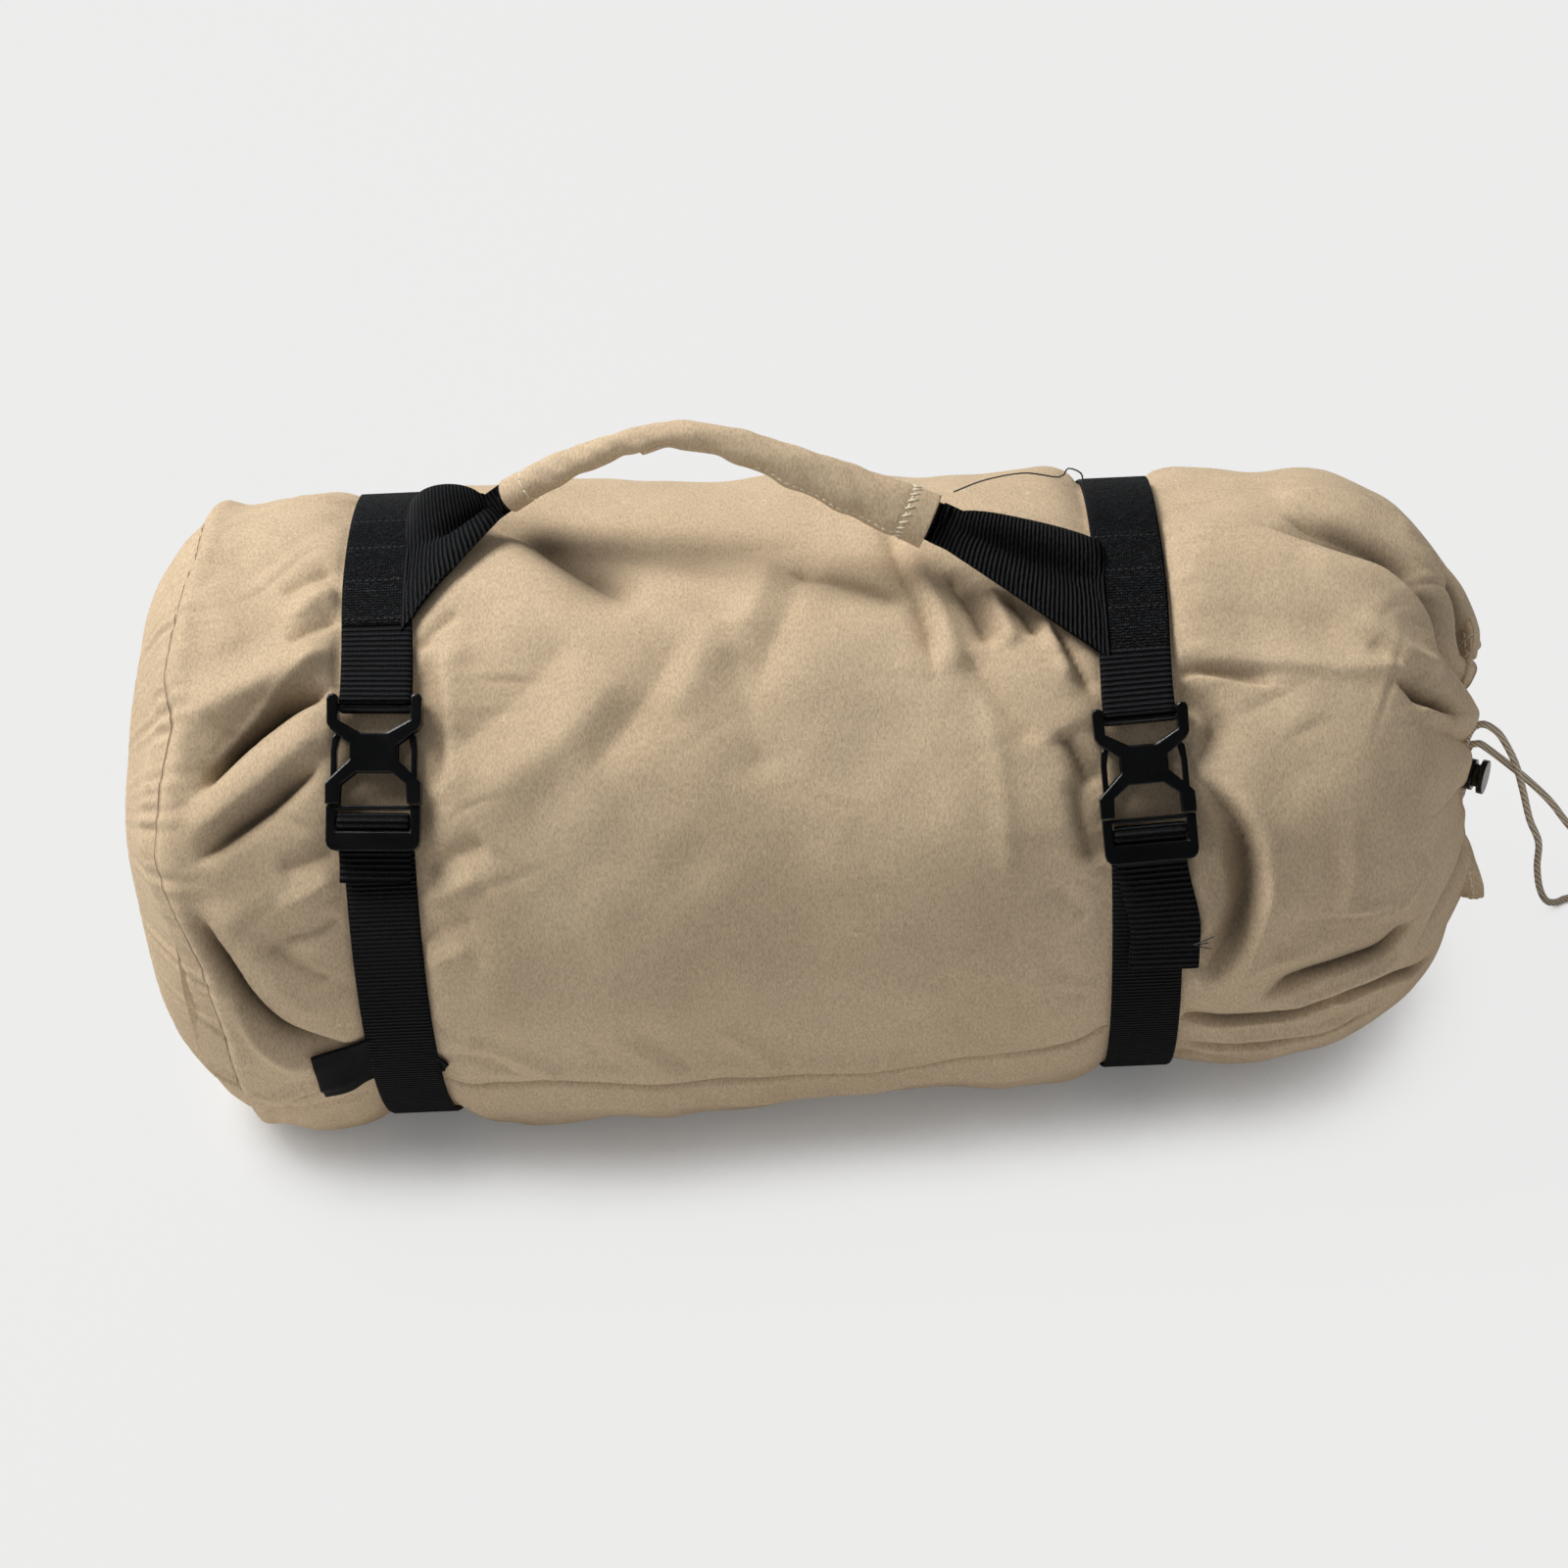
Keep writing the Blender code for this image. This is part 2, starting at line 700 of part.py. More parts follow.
def strip_mesh(outline, side):
    """An outline in the YZ plane, made as wide as the strap."""
    mesh = plate_mesh([outline], -STRAP_HALF, STRAP_HALF)
    turn = Matrix(((0, 0, 1, STRAP_X[side]), (1, 0, 0, 0), (0, 1, 0, 0), (0, 0, 0, 1)))
    mesh.transform(turn)
    return mesh


def loop_rod(name, side, y, z, radius, half):
    """A round helper along one of the buckle's bars."""
    rod = rod_mesh(radius, (-half, y, z), (half, y, z), LOOP_SIDES)
    return helper(name, rod, buckle_frame(side))


def arc(radius, start, end):
    """Points round the bag's axis, with the bag's own corners between the two ends."""
    pitch = 360 / BAG_SEGMENTS
    low, high = sorted((start, end))
    first, last = math.ceil((low + 1) / pitch), math.floor((high - 1) / pitch)
    angles = [low, *(pitch * k for k in range(first, last + 1)), high]
    if end < start:
        angles.reverse()
    return [Vector(around(angle, radius)) for angle in angles]


def leaving_angle(point, radius, rising):
    """The angle at which a line from a point outside the circle touches it."""
    away = point - Vector((0, AXIS_HEIGHT))
    angle = math.degrees(math.atan2(away.y, -away.x))
    reach = math.degrees(math.acos(min(radius / away.length, 1)))
    return angle + reach if rising else angle - reach


def build_socket_webbing(side):
    """The doubled webbing from under the stitching to its loop on the socket's bar."""
    bar_y = SOCKET_TOP - BAR_FROM_TOP
    centre = in_section(side, bar_y, LOOP_RADIUS)
    radius = seat_radius(side) + GAP + STRAP_THICKNESS
    line = arc(radius, STITCHED_TOP_ANGLE, leaving_angle(centre, radius, rising=True))
    webbing = place(
        f"strap_{side}_socket_webbing",
        slanted(strip_mesh(ribbon([*line, centre], STRAP_THICKNESS), side), side),
        WEBBING,
    )
    ring = loop_rod(f"socket_loop_{side}", side, bar_y, LOOP_RADIUS, LOOP_RADIUS, STRAP_HALF)
    hole = loop_rod(
        f"socket_loop_hole_{side}", side, bar_y, LOOP_RADIUS, BAR_RADIUS + GAP, STRAP_WIDTH
    )
    combine(webbing, ring, "UNION")
    combine(webbing, hole, "DIFFERENCE")


def build_band(side):
    """The long webbing over the back, under the bag and up to the plug."""
    inner = seat_radius(side) + GAP
    outer = inner + STRAP_THICKNESS
    start = STITCHED_TOP_ANGLE + math.degrees(GAP * 2 / inner)
    top = in_section(side, ADJUSTER_Y, 0)
    end = 360 + math.degrees(math.atan2(top.y - AXIS_HEIGHT, -top.x))
    inside = [Vector((p.x, max(p.y, STRAP_THICKNESS))) for p in arc(inner, start, end)]
    outside = [Vector((p.x, max(p.y, 0))) for p in arc(outer, start, end)]
    outline = [tuple(p) for p in inside + outside[::-1]]
    place(f"strap_{side}_band", strip_mesh(outline, side), WEBBING)


def build_adjuster_webbing(side):
    """The webbing that turns round the plug's bar and ends in the loose tail."""
    middle_wall = PLUG_BAR_RADIUS + GAP + STRAP_THICKNESS / 2
    start = in_section(side, ADJUSTER_Y, ADJUSTER_Z - middle_wall)
    radius = seat_radius(side) + 2 * GAP + STRAP_THICKNESS * 3 / 2
    touch = leaving_angle(start, radius, rising=False)
    foot = in_section(side, PLUG_BOTTOM, 0)
    foot_angle = math.degrees(math.atan2(foot.y - AXIS_HEIGHT, -foot.x))
    end = foot_angle - math.degrees(TAIL_LENGTH[side] / radius)
    line = [start, *arc(radius, touch, end)]
    webbing = place(
        f"strap_{side}_adjuster_webbing",
        slanted(strip_mesh(ribbon(line, STRAP_THICKNESS / 2), side), side),
        WEBBING,
    )
    ring = loop_rod(
        f"adjuster_loop_{side}", side, ADJUSTER_Y, ADJUSTER_Z, ADJUSTER_RADIUS, STRAP_HALF
    )
    hole = loop_rod(
        f"adjuster_loop_hole_{side}",
        side,
        ADJUSTER_Y,
        ADJUSTER_Z,
        PLUG_BAR_RADIUS + GAP,
        STRAP_WIDTH,
    )
    combine(webbing, ring, "UNION")
    combine(webbing, hole, "DIFFERENCE")


# The socket's outline on one side: shares of its half width and of its length
SOCKET_OUTLINE = [
    (0.275, 0.357),
    (0.766, 0.238),
    (0.778, 0.021),
    (0.850, 0.000),
    (0.958, 0.005),
    (1.000, 0.041),
    (0.988, 0.271),
    (0.910, 0.326),
    (0.497, 0.460),
    (0.497, 0.600),
    (0.898, 0.765),
    (1.000, 0.814),
    (1.000, 1.000),
    (0.719, 1.000),
    (0.695, 0.822),
    (0.371, 0.711),
]
# A prong's outline: shares of the cavity's half width and of the socket's length
PRONG_OUTLINE = [
    (0.805, 1.003),
    (0.974, 1.003),
    (0.981, 0.775),
    (0.981, 0.517),
    (0.948, 0.388),
    (0.857, 0.351),
    (0.779, 0.375),
    (0.805, 0.426),
    (0.851, 0.517),
    (0.851, 0.750),
    (0.805, 0.853),
]
CAVITY_START = 0.326


def socket_point(across, down):
    return BUCKLE_HALF_WIDTH * across, SOCKET_TOP - SOCKET_LENGTH * down


def build_socket(side, frame):
    right = [socket_point(across, down) for across, down in SOCKET_OUTLINE]
    left = [(-x, y) for x, y in reversed(right)]
    socket = place(
        f"buckle_{side}_socket", plate_mesh([right + left], 0, BUCKLE_THICKNESS), PLASTIC, frame
    )
    bar_y = SOCKET_TOP - BAR_FROM_TOP
    bar_half = BUCKLE_HALF_WIDTH * (SOCKET_OUTLINE[2][0] + SOCKET_OUTLINE[3][0]) / 2
    ends = [(sign * bar_half, bar_y, LOOP_RADIUS) for sign in (-1, 1)]
    bar = rod_mesh(BAR_RADIUS, *ends, BAR_SIDES)
    combine(socket, helper(f"socket_bar_{side}", bar, frame), "UNION")
    cavity = box_mesh(
        (-CAVITY_HALF, SOCKET_MOUTH - FIT, SOCKET_PLATE),
        (CAVITY_HALF, SOCKET_TOP - SOCKET_LENGTH * CAVITY_START, BUCKLE_THICKNESS - SOCKET_PLATE),
    )
    combine(socket, helper(f"socket_cavity_{side}", cavity, frame), "DIFFERENCE")


def build_plug(side, frame):
    outline = [(-PLUG_HALF_WIDTH, PLUG_TOP)]
    for sign, turns in ((-1, (180, 210, 240, 270)), (1, (270, 300, 330, 360))):
        middle = sign * (PLUG_HALF_WIDTH - PLUG_CORNER)
        for turn in turns:
            outline.append(
                (
                    middle + PLUG_CORNER * math.cos(math.radians(turn)),
                    PLUG_BOTTOM + PLUG_CORNER + PLUG_CORNER * math.sin(math.radians(turn)),
                )
            )
    outline.append((PLUG_HALF_WIDTH, PLUG_TOP))
    slot = [
        (-SLOT_HALF, SLOT_TOP),
        (-SLOT_HALF, SLOT_BOTTOM),
        (SLOT_HALF, SLOT_BOTTOM),
        (SLOT_HALF, SLOT_TOP),
    ]
    plug = place(
        f"buckle_{side}_plug", plate_mesh([outline, slot], 0, PLUG_THICKNESS), PLASTIC, frame
    )
    bar_half = (SLOT_HALF + PLUG_HALF_WIDTH) / 2
    ends = [(sign * bar_half, ADJUSTER_Y, ADJUSTER_Z) for sign in (-1, 1)]
    bar = rod_mesh(PLUG_BAR_RADIUS, *ends, BAR_SIDES)
    combine(plug, helper(f"plug_bar_{side}", bar, frame), "UNION")
    webbing_path = box_mesh(
        (-SLOT_HALF, PLUG_BOTTOM - FIT, -FIT),
        (SLOT_HALF, SLOT_BOTTOM + FIT, STRAP_THICKNESS + FIT),
    )
    combine(plug, helper(f"plug_underpass_{side}", webbing_path, frame), "DIFFERENCE")


def build_prongs(side, frame):
    """The two spring arms, pressed together to let the plug out."""
    outline = [
        (CAVITY_HALF * across, SOCKET_TOP - SOCKET_LENGTH * down) for across, down in PRONG_OUTLINE
    ]
    hinge = Vector((CAVITY_HALF - PRONG_HINGE_INSET / 2, PLUG_TOP + ROOT_GAP + FIT, 0))
    low, high = SOCKET_PLATE + GAP, BUCKLE_THICKNESS - SOCKET_PLATE - GAP
    for name, sign in (("mouth", 1), ("closed", -1)):
        loop = [(sign * (x - hinge.x), y - hinge.y) for x, y in outline]
        origin = Matrix.Translation((sign * hinge.x, hinge.y, 0))
        place(
            f"buckle_{side}_prong_{name}_side",
            plate_mesh([loop], low, high),
            PLASTIC,
            frame @ origin,
        )


# Carry handle


def interpolated(values, share):
    place_in = share * (len(values) - 1)
    i = min(int(place_in), len(values) - 2)
    return values[i] + (values[i + 1] - values[i]) * (place_in - i)


def build_handle():
    """The webbing core that ends in balls on the flares' hinge line, in its sewn sleeve."""
    core_line = smooth_line(HANDLE_ROUTE, HANDLE_STEP)
    sleeve_line = smooth_line(HANDLE_ROUTE[1:-1], HANDLE_STEP)
    last = len(sleeve_line) - 1
    outer = [interpolated(SLEEVE_RADII, i / last) for i in range(last + 1)]
    inner = [radius - SLEEVE_WALL for radius in outer]

    sleeve = place("handle_sleeve", tube_mesh(sleeve_line, outer), CANVAS)
    first_way = (sleeve_line[0] - sleeve_line[1]).normalized() * FIT
    last_way = (sleeve_line[-1] - sleeve_line[-2]).normalized() * FIT
    bore_line = [sleeve_line[0] + first_way, *sleeve_line[1:-1], sleeve_line[-1] + last_way]
    combine(sleeve, helper("sleeve_bore", tube_mesh(bore_line, inner)), "DIFFERENCE")

    length = len(core_line) - 1
    radii = []
    for i, point in enumerate(core_line):
        nearest = min(range(last + 1), key=lambda k: (sleeve_line[k] - point).length)
        radii.append(inner[nearest] - GAP if 0 < i < length else CORE_END_RADIUS)
    start_way = (core_line[0] - core_line[1]).normalized()
    end_way = (core_line[-1] - core_line[-2]).normalized()
    for turn in BALL_TURNS:
        reach = CORE_END_RADIUS * math.sin(math.radians(turn))
        narrow = CORE_END_RADIUS * math.cos(math.radians(turn))
        core_line = [Vector(HANDLE_ROUTE[0]) + start_way * reach, *core_line]
        core_line = [*core_line, Vector(HANDLE_ROUTE[-1]) + end_way * reach]
        radii = [narrow, *radii, narrow]
    place("handle_webbing", tube_mesh(core_line, radii), WEBBING)


def build_anchor(side):
    """The handle webbing's end, spread flat where the strap's stitching holds it."""
    end = Vector(HANDLE_ROUTE[0 if side == "left" else -1])
    inward = 1 if side == "left" else -1
    strap_edge = STRAP_X[side] + inward * (STRAP_HALF + ANCHOR_THICKNESS + GAP)
    low, high = ANCHOR_ANGLES[side]
    middle = on_bag(strap_edge, (low + high) / 2, GAP)
    towards = (end - middle).normalized()
    tip = end - towards * (CORE_END_RADIUS + GAP)
    across = on_bag(strap_edge, high, 0) - on_bag(strap_edge, low, 0)
    across = (across - across.dot(towards) * towards).normalized()
    outward = inward * towards.cross(across)
    columns, rows = ANCHOR_GRID
    points = []
    for j in range(rows):
        share = j / (rows - 1)
        for i in range(columns):
            across_share = i / (columns - 1)
            root = on_bag(strap_edge, low + (high - low) * across_share, GAP)
            narrow = tip + across * ANCHOR_TIP_WIDTH * (across_share - 0.5)
            narrow -= outward * ANCHOR_THICKNESS / 2
            point = root.lerp(narrow, share)
            away = Vector((point.y, point.z - AXIS_HEIGHT))
            least = bag_radius(point.x) + FIT
            if away.length < least:
                away *= least / away.length
            points.append(Vector((point.x, away.x, AXIS_HEIGHT + away.y)))
    mesh = grid_mesh(points, columns, rows)
    if side == "left":
        mesh.flip_normals()
    flare = place(f"handle_anchor_{side}", mesh, WEBBING)
    thicken(flare, ANCHOR_THICKNESS, outward=True)


# Drawcord ends and cord lock


def build_strands():
    for name, route in (("a", STRAND_A_ROUTE), ("b", STRAND_B_ROUTE)):
        start_x = HEM_X + CORD_RADIUS + GAP - set_back(-90)
        start = (start_x, route[0][1], AXIS_HEIGHT - HEM_RADIUS)
        line = smooth_line([start, *route], CORD_STEP)
        place(f"drawcord_strand_{name}", tube_mesh(line, [CORD_RADIUS] * len(line)), CORD)
    mesh = bpy.data.meshes.new("knot")
    bm = bmesh.new()
    around_knot, down_knot = KNOT_SEGMENTS
    bmesh.ops.create_uvsphere(bm, u_segments=around_knot, v_segments=down_knot, radius=1)
    bmesh.ops.scale(bm, verts=bm.verts, vec=KNOT_RADII)
    bmesh.ops.translate(bm, verts=bm.verts, vec=KNOT_CENTRE)
    bm.to_mesh(mesh)
    bm.free()
    place("drawcord_knot", mesh, CORD)


def lock_frame():
    """X along the plunger away from the bag, Z up the two strands."""
    turn = Matrix.Rotation(math.radians(LOCK_TURN), 4, "Z")
    return Matrix.Translation((LOCK_X, 0, LOCK_Z)) @ turn


def build_cord_lock():
    frame = lock_frame()
    along, across = LOCK_SLOT_HALF
    tall = LOCK_RADIUS + FIT
    barrel = place(
        "cord_lock_barrel",
        rod_mesh(LOCK_RADIUS, (-LOCK_BACK, 0, 0), (LOCK_FRONT, 0, 0), LOCK_SIDES),
        PLASTIC,
        frame,
    )
    bore_start = -LOCK_BACK + LOCK_WALL
    bore_end = LOCK_FRONT + FIT
    bore = rod_mesh(LOCK_RADIUS - LOCK_WALL, (bore_start, 0, 0), (bore_end, 0, 0), LOCK_SIDES)
    combine(barrel, helper("lock_bore", bore, frame), "DIFFERENCE")
    slot = box_mesh((-along, -across, -tall), (along, across, tall))
    combine(barrel, helper("lock_slot", slot, frame), "DIFFERENCE")

    cap_middle, cap_end = CAP_START + CAP_THICKNESS / 2, CAP_START + CAP_THICKNESS
    stem = rod_mesh(PLUNGER_RADIUS, (-PLUNGER_BACK, 0, 0), (cap_middle, 0, 0), LOCK_SIDES)
    plunger = place("cord_lock_plunger", stem, PLASTIC, frame)
    cap = rod_mesh(CAP_RADIUS, (CAP_START, 0, 0), (cap_end, 0, 0), LOCK_SIDES)
    combine(plunger, helper("plunger_cap", cap, frame), "UNION")
    window = box_mesh((-along, -across, -tall), (along + PRESS_TRAVEL, across, tall))
    combine(plunger, helper("plunger_window", window, frame), "DIFFERENCE")

    start = bore_start + GAP + SPRING_WIRE / 2
    length = -PLUNGER_BACK - GAP - SPRING_WIRE / 2 - start
    count = round(SPRING_TURNS * SPRING_POINTS)
    coil = []
    for i in range(count + 1):
        turn = 2 * math.pi * SPRING_TURNS * i / count
        coil.append(
            (
                start + length * i / count,
                SPRING_RADIUS * math.cos(turn),
                SPRING_RADIUS * math.sin(turn),
            )
        )
    mesh = tube_mesh(coil, [SPRING_WIRE / 2] * len(coil), 1)
    place("cord_lock_spring", mesh, STEEL, frame)


# What the bag holds


def build_roll():
    """The tarp, folded lengthwise and rolled, with its layers in one spiral."""
    outermost = min(seat_radius(side) for side in STRAP_X) - BAG_WALL - FIT
    pitch = ROLL_FOLD + ROLL_SLACK
    turns = (outermost - ROLL_CORE_RADIUS) / pitch
    count = math.ceil(turns * ROLL_STEPS)
    low = STRAP_THICKNESS + GAP + BAG_WALL + FIT
    outside, inside = [], []
    for i in range(count + 1):
        angle = 90 - 360 * turns * i / count
        radius = outermost - pitch * turns * i / count
        y, z = around(angle, radius)
        outside.append((y, max(z, low)))
        y, z = around(angle, max(radius - ROLL_FOLD, ROLL_CORE_RADIUS / 8))
        inside.append((y, z))
    mesh = plate_mesh([outside + inside[::-1]], 0, ROLL_LENGTH)
    start = CLOSED_X + ROLL_START
    mesh.transform(Matrix(((0, 0, 1, start), (1, 0, 0, 0), (0, 1, 0, 0), (0, 0, 0, 1))))
    place("tarp_roll", mesh, TARP)
    return start + ROLL_LENGTH


def flat_piece(name, loops, thickness, centre, look):
    """A flat outline in the YZ plane, its back at the centre's X."""
    mesh = plate_mesh(loops, 0, thickness)
    x, y, z = centre
    mesh.transform(Matrix(((0, 0, 1, x), (1, 0, 0, y), (0, 1, 0, z), (0, 0, 0, 1))))
    place(name, mesh, look)


def stadium(length, width):
    """A long outline with round ends, along its first axis."""
    loop = []
    for sign in (1, -1):
        for i in range(STADIUM_STEPS + 1):
            turn = math.radians(-90 + 180 * i / STADIUM_STEPS)
            x = sign * ((length - width) / 2 + width / 2 * math.cos(turn))
            loop.append((x, sign * width / 2 * math.sin(turn)))
    return loop


def round_hole(x, radius):
    turns = [2 * math.pi * i / HOLE_SIDES for i in range(HOLE_SIDES)]
    return [(x + radius * math.cos(t), radius * math.sin(t)) for t in turns]


def build_contents():
    roll_end = build_roll()
    back = roll_end + GAP
    number = 0
    for column in (-1, 1):
        for row in (-1, 0, 1):
            number += 1
            y = column * HANK_PITCH[0] / 2
            z = AXIS_HEIGHT + row * HANK_PITCH[1]
            length, width, thickness = HANK_SIZE
            flat_piece(
                f"guyline_hank_{number}", [stadium(length, width)], thickness, (back, y, z), GUYLINE
            )
            runner_x = back + thickness + GAP
            length, width, thickness = RUNNER_SIZE
            holes = [round_hole(k * RUNNER_HOLE_PITCH, RUNNER_HOLE) for k in (-1, 0, 1)]
            flat_piece(
                f"guyline_runner_{number}",
                [stadium(length, width), *holes],
                thickness,
                (runner_x, y, z),
                PLASTIC,
            )
    number = 0
    width, length, thickness = LOOP_SIZE
    for row in (-1, 1):
        for column in (-1, 0, 1):
            number += 1
            outer = [(y, x) for x, y in stadium(length, width)]
            inner = [
                (y, x) for x, y in stadium(length - 2 * LOOP_BAND, width - 2 * LOOP_BAND)
            ]
            centre = (back, column * LOOP_PITCH, AXIS_HEIGHT + row * LOOP_RISE)
            flat_piece(f"tarp_corner_loop_{number}", [outer, inner], thickness, centre, WEBBING)


build_bag()
build_hem()
build_label()
for one_side in STRAP_X:
    build_socket_webbing(one_side)
    build_band(one_side)
    build_adjuster_webbing(one_side)
    build_socket(one_side, buckle_frame(one_side))
    build_plug(one_side, buckle_frame(one_side))
    build_prongs(one_side, buckle_frame(one_side))
    build_anchor(one_side)
build_handle()
build_strands()
build_cord_lock()
build_contents()
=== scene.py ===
"""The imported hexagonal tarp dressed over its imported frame.

Metres, +Z up, in the frame of the CAD. An angle round the bag is in degrees: 0 is the
front (-Y) and 90 is the top (+Z).
"""
import math

import bmesh
import bpy
import numpy as np
from mathutils import Matrix, Vector


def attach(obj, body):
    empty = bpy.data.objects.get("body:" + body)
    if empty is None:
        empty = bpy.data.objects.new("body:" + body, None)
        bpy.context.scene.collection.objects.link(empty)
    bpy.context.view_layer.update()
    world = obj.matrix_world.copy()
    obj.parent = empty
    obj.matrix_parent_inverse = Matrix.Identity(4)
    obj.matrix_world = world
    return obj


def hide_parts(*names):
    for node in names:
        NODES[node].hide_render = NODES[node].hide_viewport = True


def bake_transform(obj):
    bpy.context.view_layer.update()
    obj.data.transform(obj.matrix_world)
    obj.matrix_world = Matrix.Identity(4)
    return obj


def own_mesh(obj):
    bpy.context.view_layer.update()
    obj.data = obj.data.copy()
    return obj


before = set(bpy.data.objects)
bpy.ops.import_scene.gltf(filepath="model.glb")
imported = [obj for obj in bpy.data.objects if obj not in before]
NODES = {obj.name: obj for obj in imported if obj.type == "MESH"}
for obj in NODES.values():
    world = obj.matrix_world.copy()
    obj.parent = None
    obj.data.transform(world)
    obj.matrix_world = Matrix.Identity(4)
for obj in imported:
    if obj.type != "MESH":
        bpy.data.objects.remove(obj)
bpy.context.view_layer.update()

# The bag, as the CAD has it
AXIS_HEIGHT = 0.108
CLOSED_END_RADIUS = 0.1212
MOUTH_END_RADIUS = 0.1120
SEAM_X = -0.2285
SHOULDER_X = 0.165
WAIST_DEPTH = 0.0030
STRAP_X = {"left": -0.1526, "right": 0.1170}
STRAP_HALF = 0.0125
WEBBING = 0.0016
GAP = 0.0003
FIT = 0.0005
BUCKLE_ANGLE = {"left": 45.3, "right": 37.8}
BUCKLE_SLANT = {"left": -2.7, "right": 2.8}
SLANT_FADE = 0.050
SOCKET_TOP = 0.02755
TAIL_LENGTH = {"left": 0.011, "right": 0.044}
FRONT_SET_BACK = 0.0120
FRONT_SET_BACK_ANGLE = 22.0
CORD_DIAMETER = 0.0028

# The drawcord's two ends, from the mouth to the knot
STRAND_A = [
    (0.2411, -0.0016, 0.0844), (0.2438, -0.0016, 0.0845), (0.2462, -0.0016, 0.0860),
    (0.2472, -0.0016, 0.0900), (0.2472, -0.0016, 0.0980), (0.2472, -0.0016, 0.1050),
    (0.2473, -0.0017, 0.1120), (0.2479, -0.0019, 0.1190), (0.2500, -0.0020, 0.1243),
    (0.2536, -0.0023, 0.1257), (0.2575, -0.0022, 0.1230), (0.2613, -0.0015, 0.1179),
    (0.2674, -0.0006, 0.1047), (0.2721, 0.0015, 0.0889), (0.2774, 0.0070, 0.0690),
    (0.2834, 0.0130, 0.0517), (0.2855, 0.0190, 0.0336), (0.2888, 0.0240, 0.0174),
    (0.2933, 0.0285, 0.0062), (0.2983, 0.0320, 0.0020), (0.3040, 0.0350, 0.0015),
    (0.3170, 0.0360, 0.0015), (0.3280, 0.0290, 0.0015), (0.3330, 0.0140, 0.0015),
    (0.3310, -0.0060, 0.0015), (0.3235, -0.0260, 0.0015), (0.3155, -0.0460, 0.0015),
    (0.3090, -0.0660, 0.0015), (0.3045, -0.0860, 0.0015), (0.3030, -0.0955, 0.0023),
    (0.3027, -0.1005, 0.0040),
]
STRAND_B = [
    (0.2411, 0.0016, 0.0844), (0.2450, 0.0016, 0.0845), (0.2477, 0.0016, 0.0860),
    (0.2488, 0.0016, 0.0902), (0.2488, 0.0016, 0.0980), (0.2488, 0.0016, 0.1045),
    (0.2491, 0.0016, 0.1095), (0.2508, 0.0017, 0.1128), (0.2536, 0.0020, 0.1127),
    (0.2573, 0.0034, 0.1088), (0.2665, 0.0056, 0.0986), (0.2764, 0.0062, 0.0880),
    (0.2846, 0.0052, 0.0787), (0.2918, 0.0040, 0.0683), (0.3080, 0.0020, 0.0470),
    (0.3260, 0.0000, 0.0270), (0.3420, -0.0040, 0.0120), (0.3550, -0.0120, 0.0035),
    (0.3630, -0.0250, 0.0015), (0.3640, -0.0420, 0.0015), (0.3580, -0.0600, 0.0015),
    (0.3460, -0.0760, 0.0015), (0.3300, -0.0890, 0.0015), (0.3180, -0.0960, 0.0016),
    (0.3118, -0.0997, 0.0025), (0.3068, -0.1028, 0.0040),
]
KNOT_CENTRE = (0.3027, -0.1060, 0.0042)

# The carry handle's middle line, from its left end to its right end
HANDLE_ROUTE = [
    (-0.1087, 0.0111, 0.2391), (-0.1048, 0.0102, 0.2421), (-0.0895, 0.0068, 0.2536),
    (-0.0746, 0.0035, 0.2623), (-0.0600, 0.0002, 0.2701), (-0.0422, -0.0037, 0.2756),
    (-0.0267, -0.0071, 0.2746), (-0.0115, -0.0105, 0.2699), (0.0054, -0.0142, 0.2636),
    (0.0224, -0.0180, 0.2565), (0.0359, -0.0210, 0.2515), (0.0461, -0.0233, 0.2471),
    (0.0506, -0.0243, 0.2452),
]


def smoothstep(low, high, value):
    """0 up to low, 1 from high on, and a smooth rise between them."""
    share = np.clip((value - low) / (high - low), 0, 1)
    return share * share * (3 - 2 * share)


def smooth_line(points, step):
    """Points about a step apart on a smooth curve through the given ones."""
    knots = [np.array(p, float) for p in points]
    knots = [2 * knots[0] - knots[1], *knots, 2 * knots[-1] - knots[-2]]
    line = []
    for before, start, end, after in zip(knots, knots[1:], knots[2:], knots[3:]):
        count = max(1, round(float(np.linalg.norm(end - start)) / step))
        for i in range(count):
            t = i / count
            line.append(
                0.5
                * (
                    2 * start
                    + (end - before) * t
                    + (2 * before - 5 * start + 4 * end - after) * t**2
                    + (3 * start - before - 3 * end + after) * t**3
                )
            )
    return np.array([*line, knots[-2]])


def run_along(line):
    """How far along a line each of its points lies."""
    return np.concatenate([[0], np.cumsum(np.linalg.norm(np.diff(line, axis=0), axis=1))])


def sampled(line, run, wanted):
    """Points of a line at wanted places along its run."""
    return np.stack([np.interp(wanted, run, line[:, k]) for k in range(line.shape[1])], 1)


def unit(vectors):
    """Vectors of length 1, one in each row."""
    return vectors / np.linalg.norm(vectors, axis=1)[:, None]


def weave_uv(across, along):
    """UV in metres from places across and along a piece."""
    across, along = np.broadcast_arrays(np.atleast_2d(across), np.array(along)[:, None])
    return np.stack([across, along], axis=-1)


def add_object(name, data):
    """A new object in the scene."""
    made = bpy.data.objects.new(name, data)
    bpy.context.scene.collection.objects.link(made)
    return made


